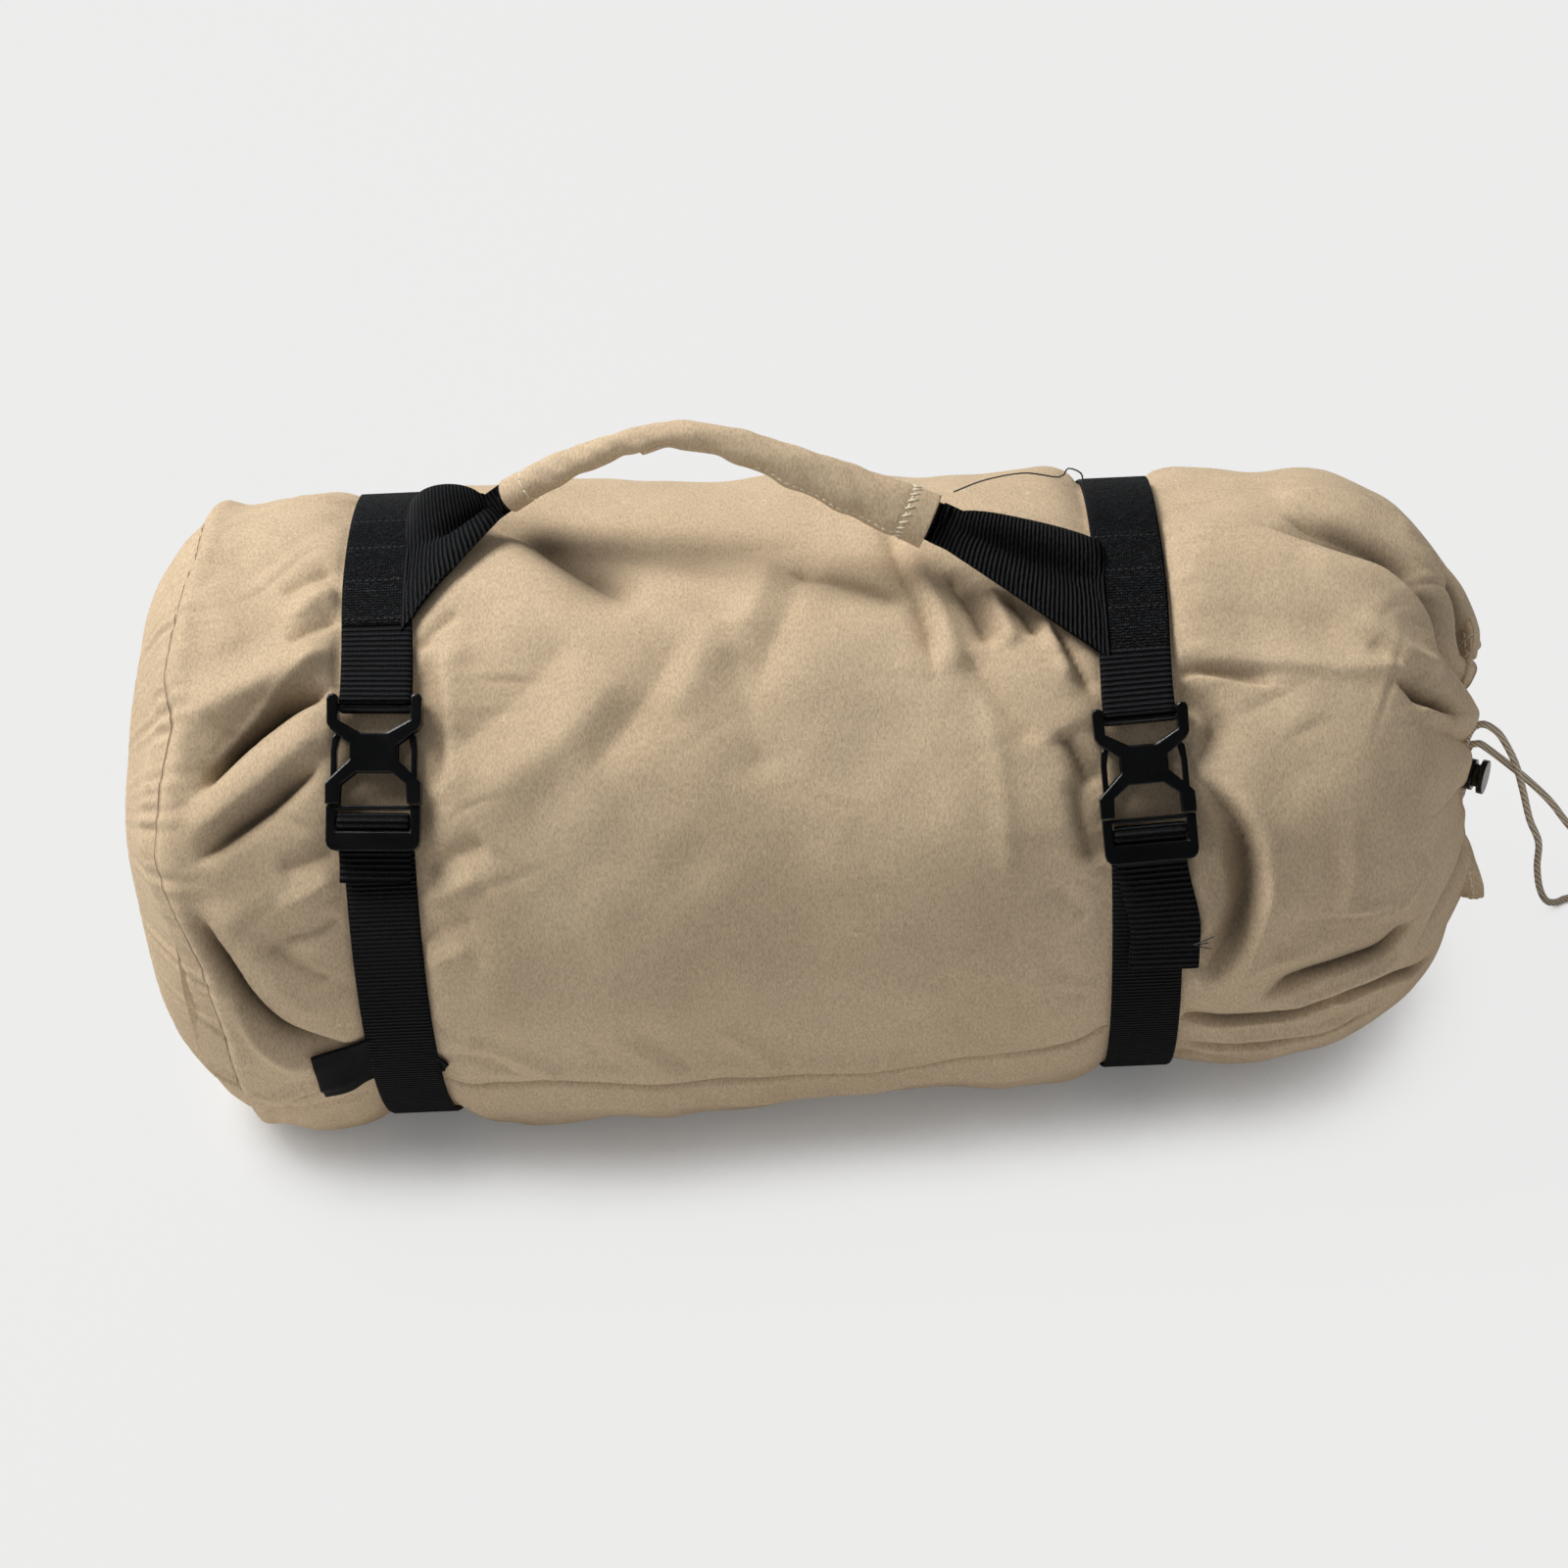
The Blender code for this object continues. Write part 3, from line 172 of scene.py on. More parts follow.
def grid_piece(name, points, look, closed_u=False, uv=None, thickness=0.0):
    """A sheet over rows of points (rows, columns, 3), with its weave's UV in metres."""
    rows, columns, _ = points.shape
    mesh = bpy.data.meshes.new(name)
    i, j = np.meshgrid(np.arange(columns if closed_u else columns - 1), np.arange(rows - 1))
    k = (i + 1) % columns
    faces = np.stack(
        [j * columns + i, j * columns + k, (j + 1) * columns + k, (j + 1) * columns + i], axis=-1
    ).reshape(-1, 4)
    mesh.from_pydata(points.reshape(-1, 3).tolist(), [], faces.tolist())
    if uv is not None:
        layer = mesh.uv_layers.new(name="weave")
        corner_i = np.stack([i, i + 1, i + 1, i], axis=-1).reshape(-1)
        corner_j = np.stack([j, j, j + 1, j + 1], axis=-1).reshape(-1)
        coords = uv[corner_j, corner_i]
        layer.data.foreach_set("uv", coords.reshape(-1).astype(np.float32))
    mesh.materials.append(look)
    mesh.shade_smooth()
    piece = add_object(name, mesh)
    if thickness:
        modifier = piece.modifiers.new("cloth", "SOLIDIFY")
        modifier.thickness = abs(thickness)
        modifier.offset = -1 if thickness > 0 else 1
    return piece


def close_ends(mesh, beyond=math.inf, turn_out=False):
    """Fills a mesh's open ends that lie at an X below beyond."""
    bm = bmesh.new()
    bm.from_mesh(mesh)
    edges = [e for e in bm.edges if e.is_boundary and e.verts[0].co.x < beyond]
    bmesh.ops.holes_fill(bm, edges=edges, sides=0)
    if turn_out:
        bmesh.ops.recalc_face_normals(bm, faces=bm.faces)
    bm.to_mesh(mesh)
    bm.free()


def around(angle, radius):
    """Y and Z of points round the bag's axis."""
    turn = np.radians(angle)
    return -radius * np.cos(turn), AXIS_HEIGHT + radius * np.sin(turn)


def angle_of(y, z):
    """The angle of a point round the bag's axis, in degrees."""
    return math.degrees(math.atan2(z - AXIS_HEIGHT, -y))


def body_radius(x):
    """The bag's smooth radius at X."""
    share = min(max((x - SEAM_X) / (SHOULDER_X - SEAM_X), 0), 1)
    return CLOSED_END_RADIUS + share * (MOUTH_END_RADIUS - CLOSED_END_RADIUS)


def seat_radius(side):
    """The radius on which a strap's webbing is seated."""
    return body_radius(STRAP_X[side]) - WAIST_DEPTH


# The bag's cloth: how far out it stands at the top back and at the bottom front, by X
TOP_LINE = [
    (-0.2285, 0.1168), (-0.220, 0.1182), (-0.193, 0.1196), (-0.163, 0.1201), (-0.125, 0.1200),
    (-0.088, 0.1195), (-0.006, 0.1174), (0.042, 0.1171), (0.096, 0.1150), (0.142, 0.1144),
    (0.165, 0.1138), (0.196, 0.1102), (0.216, 0.1011), (0.231, 0.0912), (0.243, 0.0776),
    (0.2515, 0.0642), (0.2555, 0.0500), (0.2545, 0.0400), (0.2500, 0.0310), (0.2440, 0.0266),
]
BOTTOM_LINE = [
    (-0.2285, 0.1180), (-0.220, 0.1193), (-0.203, 0.1215), (-0.163, 0.1216), (-0.125, 0.1230),
    (-0.106, 0.1250), (-0.054, 0.1224), (0.021, 0.1181), (0.073, 0.1166), (0.117, 0.1140),
    (0.150, 0.1110), (0.186, 0.1085), (0.207, 0.1018), (0.223, 0.0913), (0.234, 0.0780),
    (0.2430, 0.0630), (0.2505, 0.0480), (0.2525, 0.0380), (0.2490, 0.0300), (0.2440, 0.0266),
]
# How finely the cloth is divided: steps in degrees where it is seen and at its back
FRONT_STEP = 0.4
BACK_STEP = 1.1
SEAM_STEP = 0.2
FRONT_ANGLES = (-75.0, 120.0)
SEAM_ANGLES = (-30.0, -14.0)
PROFILE_STEP = 0.0008
BODY_STATIONS = 290
SHOULDER_STATIONS = 110

# Folds of the bag's cloth. Each has a height in mm, its width to either side in mm, and
# its line as points along the bag (mm) and round it (degrees). Valleys are negative.
CLOSED_END_FOLDS = [
    (5.0, 6.0, 8.0, [(-165, 68), (-185, 63), (-205, 59), (-226, 55)]),
    (2.2, 3.0, 2.4, [(-165, 69), (-186, 60), (-199, 53), (-212, 46)]),
    (-12.0, 3.0, 9.0, [(-166, 61), (-180, 57), (-197, 51), (-215, 42)]),
    (4.2, 5.0, 7.0, [(-168, 54), (-183, 48), (-198, 42), (-218, 35)]),
    (-7.5, 3.0, 7.0, [(-170, 48), (-186, 41), (-200, 36), (-214, 31)]),
    (3.2, 6.0, 6.0, [(-212, 26), (-204, 18), (-191, 8), (-176, 1)]),
    (-11.0, 3.0, 7.5, [(-220, 25), (-216, 16), (-210, 8), (-200, 2), (-188, -3), (-170, -8)]),
    (4.0, 4.0, 5.0, [(-219, 10), (-213, 1), (-204, -6), (-184, -12)]),
    (-3.4, 4.0, 5.0, [(-196, 18), (-186, 12), (-172, 8)]),
    (-3.2, 3.4, 4.0, [(-168, 86), (-176, 84), (-187, 80)]),
    (2.4, 4.0, 4.0, [(-165, 81), (-174, 78), (-184, 73)]),
    (-3.6, 3.2, 3.5, [(-165, 75), (-174, 72), (-184, 69)]),
    (-1.2, 6.0, 7.0, [(-168, 108), (-176, 97), (-189, 92)]),
    (-3.0, 4.0, 5.0, [(-167, 33), (-176, 31), (-188, 29)]),
    (2.0, 4.0, 4.0, [(-168, 28), (-178, 25), (-190, 23)]),
    (-3.0, 3.4, 4.0, [(-167, 21), (-178, 18), (-190, 17)]),
    (-1.2, 8.0, 9.0, [(-214, 94), (-200, 86), (-190, 77), (-189, 68)]),
    (1.8, 8.0, 8.0, [(-221, 84), (-208, 76), (-200, 68)]),
    (-2.4, 3.0, 3.0, [(-220, -31), (-194, -27), (-175, -24), (-160, -27)]),
    (2.2, 4.0, 4.0, [(-218, -23), (-195, -19), (-168, -15)]),
]
BELLY_FOLDS = [
    (-4.2, 3.0, 5.5, [(-134, 68), (-131, 58), (-129, 48), (-132, 40)]),
    (-2.8, 3.0, 3.0, [(-122, 75), (-131, 71), (-137, 67)]),
    (1.6, 6.0, 6.0, [(-120, 70), (-127, 60), (-124, 50)]),
    (-2.8, 5.0, 4.5, [(-113, 33), (-125, 31), (-137, 28)]),
    (2.2, 4.0, 5.0, [(-116, 27), (-128, 25), (-138, 23)]),
    (-2.2, 4.5, 4.5, [(-119, 20), (-131, 18), (-139, 15)]),
    (2.0, 3.5, 3.5, [(-122, 15), (-132, 13), (-139, 10)]),
    (-1.6, 4.5, 4.5, [(-121, 9), (-131, 6), (-139, 3)]),
    (-1.2, 4.5, 4.5, [(-124, 1), (-134, -2), (-140, -5)]),
    (-3.0, 9.0, 10.0, [(-80, 70), (-96, 60), (-112, 53), (-130, 46)]),
    (2.8, 9.0, 9.0, [(-62, 62), (-78, 53), (-96, 46), (-118, 40)]),
    (-2.4, 8.0, 9.0, [(-41, 69), (-51, 60), (-64, 51), (-80, 42)]),
    (2.0, 8.0, 8.0, [(-30, 72), (-38, 62), (-48, 52)]),
    (-2.2, 8.0, 8.0, [(-27, 66), (-22, 56), (-17, 47), (-14, 40)]),
    (-2.4, 6.0, 9.0, [(5, 88), (-1, 80), (-6, 71), (-14, 62), (-19, 54)]),
    (-8.2, 12.0, 10.0, [(-122, 102), (-100, 95), (-84, 87), (-70, 80), (-54, 73)]),
    (-4.0, 11.0, 11.0, [(-100, 92), (-70, 89), (-40, 88), (-10, 89), (12, 88)]),
    (2.4, 7.0, 7.0, [(-10, 86), (-15, 76), (-22, 66)]),
    (-5.5, 4.0, 6.0, [(-6, 82), (6, 81), (21, 78), (40, 73)]),
    (1.4, 14.0, 14.0, [(-91, 42), (-64, 43), (-35, 41), (-9, 35)]),
    (-4.4, 2.8, 4.4, [(31, 95), (34, 86), (39, 76), (44, 67), (46, 57)]),
    (3.0, 3.8, 5.0, [(38, 85), (46, 75), (52, 66), (54, 57)]),
    (-6.5, 4.5, 4.0, [(51, 81), (57, 76), (62, 70), (66, 63)]),
    (-6.5, 3.6, 3.6, [(72, 75), (78, 71), (83, 65)]),
    (3.2, 3.0, 3.0, [(66, 77), (70, 70), (75, 63)]),
    (-6.0, 2.8, 3.0, [(88, 69), (94, 62), (101, 54)]),
    (3.2, 2.6, 2.6, [(84, 70), (89, 63), (94, 56)]),
    (-2.8, 2.8, 3.4, [(57, 63), (65, 56), (73, 50), (82, 45)]),
    (-6.0, 5.0, 4.0, [(88, 48), (94, 43), (99, 37)]),
    (-5.0, 6.0, 4.0, [(93, 40), (95, 31), (99, 22)]),
    (1.2, 4.0, 4.0, [(62, 56), (66, 44), (68, 31), (68, 18)]),
    (-1.5, 4.0, 4.0, [(44, 6), (47, -4), (54, -14)]),
    (-1.3, 4.0, 4.0, [(77, 6), (71, -4), (70, -14)]),
    (-2.4, 5.0, 5.0, [(83, 21), (90, 16), (98, 12)]),
    (-1.2, 5.0, 5.0, [(84, 4), (92, 0), (99, -3)]),
]
MOUTH_FOLDS = [
    (-11.0, 13.0, 2.8, [(168, 91), (184, 87), (200, 84), (216, 82), (234, 77), (258, 69)]),
    (2.6, 5.0, 6.0, [(176, 83), (194, 79), (212, 77), (230, 72), (244, 65)]),
    (-7.0, 6.0, 6.0, [(174, 95), (190, 92), (206, 89), (221, 86), (232, 82)]),
    (3.0, 5.0, 6.0, [(172, 101), (190, 102), (210, 101), (234, 98)]),
    (-10.0, 9.0, 2.6, [(228, 106), (244, 97), (257, 87), (268, 76)]),
    (-6.0, 5.0, 5.0, [(240, 106), (254, 97), (265, 88), (274, 78)]),
    (-5.5, 5.0, 1.4, [(127, 57), (136, 58), (148, 57), (166, 55)]),
    (2.2, 6.0, 4.0, [(128, 61), (147, 60), (170, 59), (198, 58), (236, 61)]),
    (-1.6, 9.0, 9.0, [(132, 67), (150, 69), (170, 68), (197, 66)]),
    (2.6, 5.0, 4.0, [(195, 70), (207, 66), (224, 62), (248, 63)]),
    (-2.4, 4.0, 5.0, [(200, 64), (216, 60), (234, 59)]),
    (-9.5, 6.0, 1.8, [(212, 57), (224, 53), (240, 52), (262, 54)]),
    (2.2, 4.0, 4.0, [(222, 50), (244, 50), (266, 49)]),
    (-6.0, 5.0, 5.0, [(127, 56), (138, 52), (143, 47), (136, 42)]),
    (-8.0, 3.4, 12.0, [(133, 40), (142, 35), (151, 28), (154, 20), (152, 12), (147, 4), (134, -6)]),
    (4.6, 6.5, 3.6, [(141, 38), (151, 33), (159, 26), (161, 18), (158, 9), (151, 1), (140, -6)]),
    (2.8, 3.2, 3.2, [(138, 27), (144, 21), (144, 15), (137, 7)]),
    (-2.0, 7.0, 8.0, [(180, 28), (186, 19), (184, 11), (178, 4)]),
    (-1.6, 5.0, 6.0, [(162, 26), (167, 17), (165, 8), (161, 0)]),
    (-1.4, 8.0, 8.0, [(196, 30), (201, 20), (198, 9)]),
    (1.4, 6.0, 6.0, [(190, 30), (193, 19), (190, 8)]),
    (-9.0, 6.0, 1.2, [(128, -16), (148, -18), (168, -18), (192, -13)]),
    (-8.5, 7.5, 2.0, [(158, -10), (175, -6), (194, -3), (212, -2), (228, 2)]),
    (2.8, 3.0, 3.0, [(163, -14), (181, -10), (199, -7), (220, -7)]),
    (-7.5, 5.0, 1.4, [(182, -15), (203, -14), (224, -17), (246, -28)]),
    (2.6, 3.0, 3.0, [(131, -22), (160, -23), (190, -21), (215, -20)]),
    (-4.8, 4.0, 1.4, [(129, -28), (160, -29), (190, -27), (216, -25)]),
    (-3.6, 3.0, 3.0, [(129, -40), (138, -34), (148, -36), (158, -42)]),
    (2.0, 4.0, 4.0, [(127, -6), (140, -2), (160, 0), (180, 3)]),
]
BOTTOM_SEAM = (-5.0, 1.0, 2.0, [
    (-227, -10), (-218, -20), (-200, -22), (-175, -18), (-146, -22), (-110, -19), (-60, -21),
    (0, -24), (35, -24), (65, -20), (100, -18), (135, -17), (160, -18), (185, -17),
])
SEAM_LIPS = [
    (1.8, 5.0, 2.4, [(-140, -17), (-100, -15), (-40, -17), (20, -20), (60, -17), (102, -14)]),
    (2.2, 4.5, 3.5, [(-140, -34), (-101, -27), (-51, -29), (2, -33), (49, -30), (102, -28)]),
    (2.2, 4.0, 2.6, [(-136, -6), (-120, -8), (-105, -12), (-92, -18)]),
    (-2.0, 2.6, 2.6, [(-139, -12), (-126, -11), (-112, -15)]),
    (1.5, 3.6, 3.6, [(-72, -6), (-62, -12), (-50, -18)]),
    (-1.4, 3.6, 3.6, [(-66, -3), (-54, -12), (-43, -19)]),
    (1.4, 3.6, 3.6, [(-38, -6), (-25, -13), (-14, -20)]),
    (-1.2, 3.6, 3.6, [(-88, -5), (-79, -10), (-71, -17)]),
]
# Where short random wrinkles lie: how many, from and to X (m), depth (mm)
WRINKLES = [
    (46, -0.226, -0.168, 0.9),
    (34, -0.138, -0.105, 0.7),
    (26, -0.100, 0.070, 0.35),
    (34, 0.072, 0.102, 0.7),
    (40, 0.132, 0.165, 0.7),
    (50, 0.165, 0.250, 0.9),
]
# The gathers at the mouth: the angle and depth (mm) of each valley
PLEATS = [
    (-84, 7.0), (-62, 8.0), (-38, 6.5), (-8, 10.0), (26, 5.0), (47, 8.0), (70, 10.5), (90, 7.5),
    (110, 8.0), (134, 7.0), (152, 8.0), (176, 7.0), (199, 8.5), (226, 7.0), (251, 7.5),
]


def profile_line(knots):
    """(x, radius) at shared stations along one of the two lines, from seam to throat."""
    dense = smooth_line(knots, PROFILE_STEP)
    last = int(np.argmax(dense[:, 0] >= SHOULDER_X))
    body_x = np.linspace(SEAM_X, SHOULDER_X, BODY_STATIONS)
    body_r = np.interp(body_x, dense[: last + 1, 0], dense[: last + 1, 1])
    body = np.stack([body_x, body_r], 1)
    rest = np.concatenate([body[-1:], dense[last + 1 :]])
    run = run_along(rest)
    curve = sampled(rest, run, np.linspace(0, run[-1], SHOULDER_STATIONS))
    return np.concatenate([body, curve[1:]])


def set_back(angle):
    """How far the mouth lies further in at its front."""
    facing = 0.5 + 0.5 * np.cos(np.radians(angle - FRONT_SET_BACK_ANGLE))
    return FRONT_SET_BACK * facing**3


# How far the closed end's seam lies towards the mouth, by angle
SEAM_WANDER = [
    (-180, 0.0), (-120, 0.002), (-75, 0.006), (-31, 0.0113), (-4.5, 0.0114), (11, 0.0072),
    (25, -0.0021), (32, -0.0050), (45, -0.0020), (56, 0.0025), (65, -0.0009), (84, 0.0027),
    (95, 0.0055), (130, 0.003), (180, 0.0),
]


def seam_shift(angle):
    """The seam's wander at any angles round the bag."""
    angles, shifts = zip(*SEAM_WANDER)
    return np.interp((angle + 180) % 360 - 180, angles, shifts)


TOP = profile_line(TOP_LINE)
BOTTOM = profile_line(BOTTOM_LINE)
MEAN = (TOP + BOTTOM) / 2
RUN = SEAM_X + run_along(MEAN)
ROWS = np.arange(len(MEAN))[:, None]
# The angle at which the bag follows its top line
TOP_ANGLE = 130
# Over what length, and what rows before the throat's last, the mouth is set back
GATHER_LENGTH = 0.085
GATHER_ROWS = (41, 25)
SEAM_REACH = 0.045
# The pillow beside each strap: where it starts, its reach, its shape and the strap's bed
PILLOW_START = 0.0008
PILLOW_REACH = 0.016
PILLOW_SHAPE = 2.2
STRAP_BED = 0.0002


def bag_angles():
    """Columns round the bag: fine along the bottom seam, coarse at the back."""
    low, high = SEAM_ANGLES
    parts = [
        np.arange(FRONT_ANGLES[0], low, FRONT_STEP),
        np.arange(low, high, SEAM_STEP),
        np.arange(high, FRONT_ANGLES[1], FRONT_STEP),
        np.arange(FRONT_ANGLES[1], FRONT_ANGLES[0] + 360 - BACK_STEP / 2, BACK_STEP),
    ]
    return np.concatenate(parts)


def bag_base():
    """X, radius, angle and run of the cloth's grid before any fold."""
    angle = bag_angles()
    share = (0.5 + 0.5 * np.cos(np.radians(angle - TOP_ANGLE)))[None, :]
    x = BOTTOM[:, 0:1] + (TOP[:, 0:1] - BOTTOM[:, 0:1]) * share
    radius = BOTTOM[:, 1:2] + (TOP[:, 1:2] - BOTTOM[:, 1:2]) * share
    first, last = (len(MEAN) - rows for rows in GATHER_ROWS)
    gather = smoothstep(SHOULDER_X, SHOULDER_X + GATHER_LENGTH, x) ** 2
    gather = np.maximum(gather, smoothstep(first, last, ROWS))
    x = x - set_back(angle)[None, :] * gather
    near_seam = (1 - smoothstep(0, SEAM_REACH, x - SEAM_X)) * (ROWS < BODY_STATIONS)
    x = x + seam_shift(angle)[None, :] * near_seam
    return x, radius, *np.broadcast_arrays(angle[None, :], RUN[:, None])


def strap_distance(x, side):
    """How far X lies outside a strap's edge."""
    return np.abs(x - STRAP_X[side]) - STRAP_HALF


def waists(x, radius):
    """Draws the cloth in under the straps, with a soft pillow edge beside them."""
    for side in STRAP_X:
        share = 1 - np.clip((strap_distance(x, side) - PILLOW_START) / PILLOW_REACH, 0, 1)
        radius = radius + share**PILLOW_SHAPE * (seat_radius(side) - STRAP_BED - radius)
    return radius


# The radius at which a fold's widths round the bag are measured, the step along its line,
# its reach in metres for each mm of its width, and the share of it over which it fades
FOLD_RADIUS = 0.1175
FOLD_STEP = 0.004
FOLD_REACH = 0.0045
FOLD_FADE = 0.2
# Valleys up to the first depth (mm) stay soft; from the second on they have a sharp crease
SOFT_DEPTH = 3.0
SHARP_DEPTH = 7.0
CREASE_SHARE = 0.36
LEAST_CREASE = 0.0009
# A deep valley with a side narrower than this (mm) is overhung by that side's lip
LIP_SIDE = 3.0
LIP_DEPTH = 4.0
OVERHANG = 0.12
MOST_OVERHANG = 1.4
LIP_START = (0.0002, 0.0032)
LIP_REACH = (0.003, 0.010)
# Painted shade in the deep folds: the depths (mm) where it starts and is full, its share, its width
# as a share of the fold's, its width beside a sharp edge, and its fade at the fold's ends
PAINTED_SHADE_DEPTH = (2.4, 9.0)
PAINTED_SHADE = 0.92
PAINTED_SHADE_WIDTH = 0.95
PAINTED_SHADE_EDGE = 0.0010
PAINTED_SHADE_FADE = 0.35
# The painted shadow on the cloth behind each buckle: its half width, its half height and drop in degrees
BUCKLE_SHADOW = 0.45
BUCKLE_SHADOW_WIDTH = 0.0125
BUCKLE_SHADOW_HEIGHT = 10.0
BUCKLE_SHADOW_DROP = 6.0


def fold_shape(across, height, width):
    """Ridges and shallow valleys are round, deep valleys come to a crease."""
    if height > 0:
        return height / 1000 * np.exp(-((across / width) ** 1.8))
    sharp = min(max((-height - SOFT_DEPTH) / (SHARP_DEPTH - SOFT_DEPTH), 0), 1)
    crease = 0.62 * np.exp(-across / np.maximum(CREASE_SHARE * width, LEAST_CREASE))
    crease += 0.38 * np.exp(-((across / width / 1.25) ** 2))
    soft = np.exp(-((across / width) ** 1.4))
    return height / 1000 * (sharp * crease + (1 - sharp) * soft)


def fading(along, share):
    """1 along a fold, and a smooth fade to 0 over a share of it at either end."""
    return smoothstep(0, share, along) * (1 - smoothstep(1 - share, 1, along))


def beside_line(place, line):
    """How far places lie from a line, their way from it, their side and their share along it."""
    start, step = line[:-1], np.diff(line, axis=0)
    length = np.linalg.norm(step, axis=1)
    before = np.concatenate([[0], np.cumsum(length)])
    away = place[:, None, :] - start[None]
    share = np.clip((away * step).sum(2) / length**2, 0, 1)
    away = away - share[..., None] * step
    distance = np.linalg.norm(away, axis=2)
    best = distance.argmin(1)
    pick = np.arange(len(place))
    off, away = distance[pick, best], away[pick, best]
    side = step[best, 0] * away[:, 1] - step[best, 1] * away[:, 0]
    along = (before[best] + share[pick, best] * length[best]) / before[-1]
    return off, away, side, along


def fold_painted_shade(off, width, along, height):
    """What share of its colour the cloth keeps under the painted shade in and beside one deep fold."""
    start, full = PAINTED_SHADE_DEPTH
    most = PAINTED_SHADE * min((-height - start) / (full - start), 1)
    spread = np.where(width < LIP_SIDE / 1000, PAINTED_SHADE_EDGE, width * PAINTED_SHADE_WIDTH)
    return 1 - most * fading(along, PAINTED_SHADE_FADE) * np.exp(-((off / spread) ** 1.8))


def lip_lean(off, height):
    """How far the cloth beside a deep fold's narrow side leans over it."""
    beyond, reach = LIP_REACH
    lip = min(-height * OVERHANG, MOST_OVERHANG) / 1000
    return lip * smoothstep(*LIP_START, off) * np.exp(-((np.maximum(off - beyond, 0) / reach) ** 2))


def fold_field(run, angle, folds):
    """The folds' height, their painted shade, and how far their lips lean over, both ways."""
    lift = np.zeros_like(run)
    unshaded = np.ones_like(run)
    lean = np.zeros((2, *run.shape))
    around_bag = np.radians((angle + 90) % 360 - 90) * FOLD_RADIUS
    for height, left, right, points in folds:
        knots = [(x / 1000, math.radians(a) * FOLD_RADIUS) for x, a in points]
        line = smooth_line(knots, FOLD_STEP)
        reach = max(left, right) * FOLD_REACH
        low, high = line.min(0) - reach, line.max(0) + reach
        mask = (run > low[0]) & (run < high[0]) & (around_bag > low[1]) & (around_bag < high[1])
        place = np.stack([run[mask], around_bag[mask]], 1)
        off, away, side, along = beside_line(place, line)
        width = np.where(side > 0, left, right) / 1000
        taper = fading(along, FOLD_FADE)
        lift[mask] += fold_shape(off, height, width) * (0.1 + 0.9 * taper)
        if height < -PAINTED_SHADE_DEPTH[0]:
            unshaded[mask] *= fold_painted_shade(off, width, along, height)
        if -height >= LIP_DEPTH and min(left, right) <= LIP_SIDE:
            narrow = (side > 0) == (left < right)
            move = lip_lean(off, height) * taper * narrow / np.maximum(off, 1e-6)
            lean[:, mask] -= (away * move[:, None]).T
    return lift, unshaded, lean


def lumps(run, angle, seed, count, size, height):
    """Low swells in the cloth: a seeded sum of waves about size metres long."""
    dice = np.random.RandomState(seed)
    field = np.zeros_like(run)
    for _ in range(count):
        wave = 2 * math.pi / (size * dice.uniform(0.7, 1.6))
        turn = dice.uniform(0, 2 * math.pi)
        rounds = round(wave * math.sin(turn) * FOLD_RADIUS)
        start = dice.uniform(0, 2 * math.pi)
        field += np.cos(rounds * np.radians(angle) + wave * math.cos(turn) * run + start)
    return field * height / math.sqrt(count / 2)


def wrinkle_field(run, angle, seed):
    """Short shallow wrinkles in seeded random places, most of them round the bag."""
    dice = np.random.RandomState(seed)
    field = np.zeros_like(run)
    for count, low, high, depth in WRINKLES:
        for _ in range(count):
            x, spot = dice.uniform(low, high), dice.uniform(-90, 270)
            turn = dice.normal(0, 0.7)
            half = dice.uniform(0.006, 0.020)
            wide = dice.uniform(0.0012, 0.0030)
            deep = dice.uniform(0.3, 1.0) * depth / 1000
            along_bag = run - x
            round_bag = np.radians((angle - spot + 180) % 360 - 180) * FOLD_RADIUS
            along = along_bag * math.cos(turn) + round_bag * math.sin(turn)
            across = round_bag * math.cos(turn) - along_bag * math.sin(turn)
            across = across - (along**2) * dice.uniform(-14, 14)
            near = np.exp(-((along / half) ** 2))
            valley = np.exp(-((np.abs(across) / wide) ** 1.4))
            ridge = np.exp(-(((across - 2.1 * wide) / (1.5 * wide)) ** 2))
            field -= deep * near * (valley - 0.6 * ridge)
    return field


def edge_gathers(x, angle, seed):
    """Short puckers that run out from the straps' edges."""
    dice = np.random.RandomState(seed)
    field = np.zeros_like(x)
    for centre in STRAP_X.values():
        for sign in (-1, 1):
            spot = -90.0
            while spot < 262:
                spot += dice.uniform(6, 14)
                reach = dice.uniform(0.010, 0.032)
                deep = dice.uniform(0.0004, 0.0015)
                wide = dice.uniform(1.2, 2.4)
                lean = dice.uniform(-160, 160)
                away = sign * (x - centre) - STRAP_HALF
                off = (angle - spot - lean * np.clip(away, 0, 1) + 180) % 360 - 180
                fade = np.clip(1 - away / reach, 0, 1) ** 1.5 * (away > -0.003)
                valley = np.exp(-((np.abs(off) / wide) ** 1.4))
                ridge = np.exp(-(((off - 2.2 * wide) / wide / 1.3) ** 2))
                field -= deep * fade * (valley - 0.5 * ridge)
    return field


def pleat_field(angle, share):
    """The gathers at the mouth: sharp valleys between round lobes."""
    valley = np.array([a for a, _ in PLEATS] + [PLEATS[0][0] + 360], float)
    deep = np.array([d for _, d in PLEATS] + [PLEATS[0][1]]) / 1000
    turn = (angle - valley[0]) % 360 + valley[0]
    index = np.clip(np.searchsorted(valley, turn, side="right") - 1, 0, len(PLEATS) - 1)
    place = (turn - valley[index]) / (valley[index + 1] - valley[index])
    lobe = np.abs(np.sin(np.pi * place)) ** 0.6
    edge = np.where(place < 0.5, deep[index], deep[index + 1])
    return -edge * (1 - lobe) * share


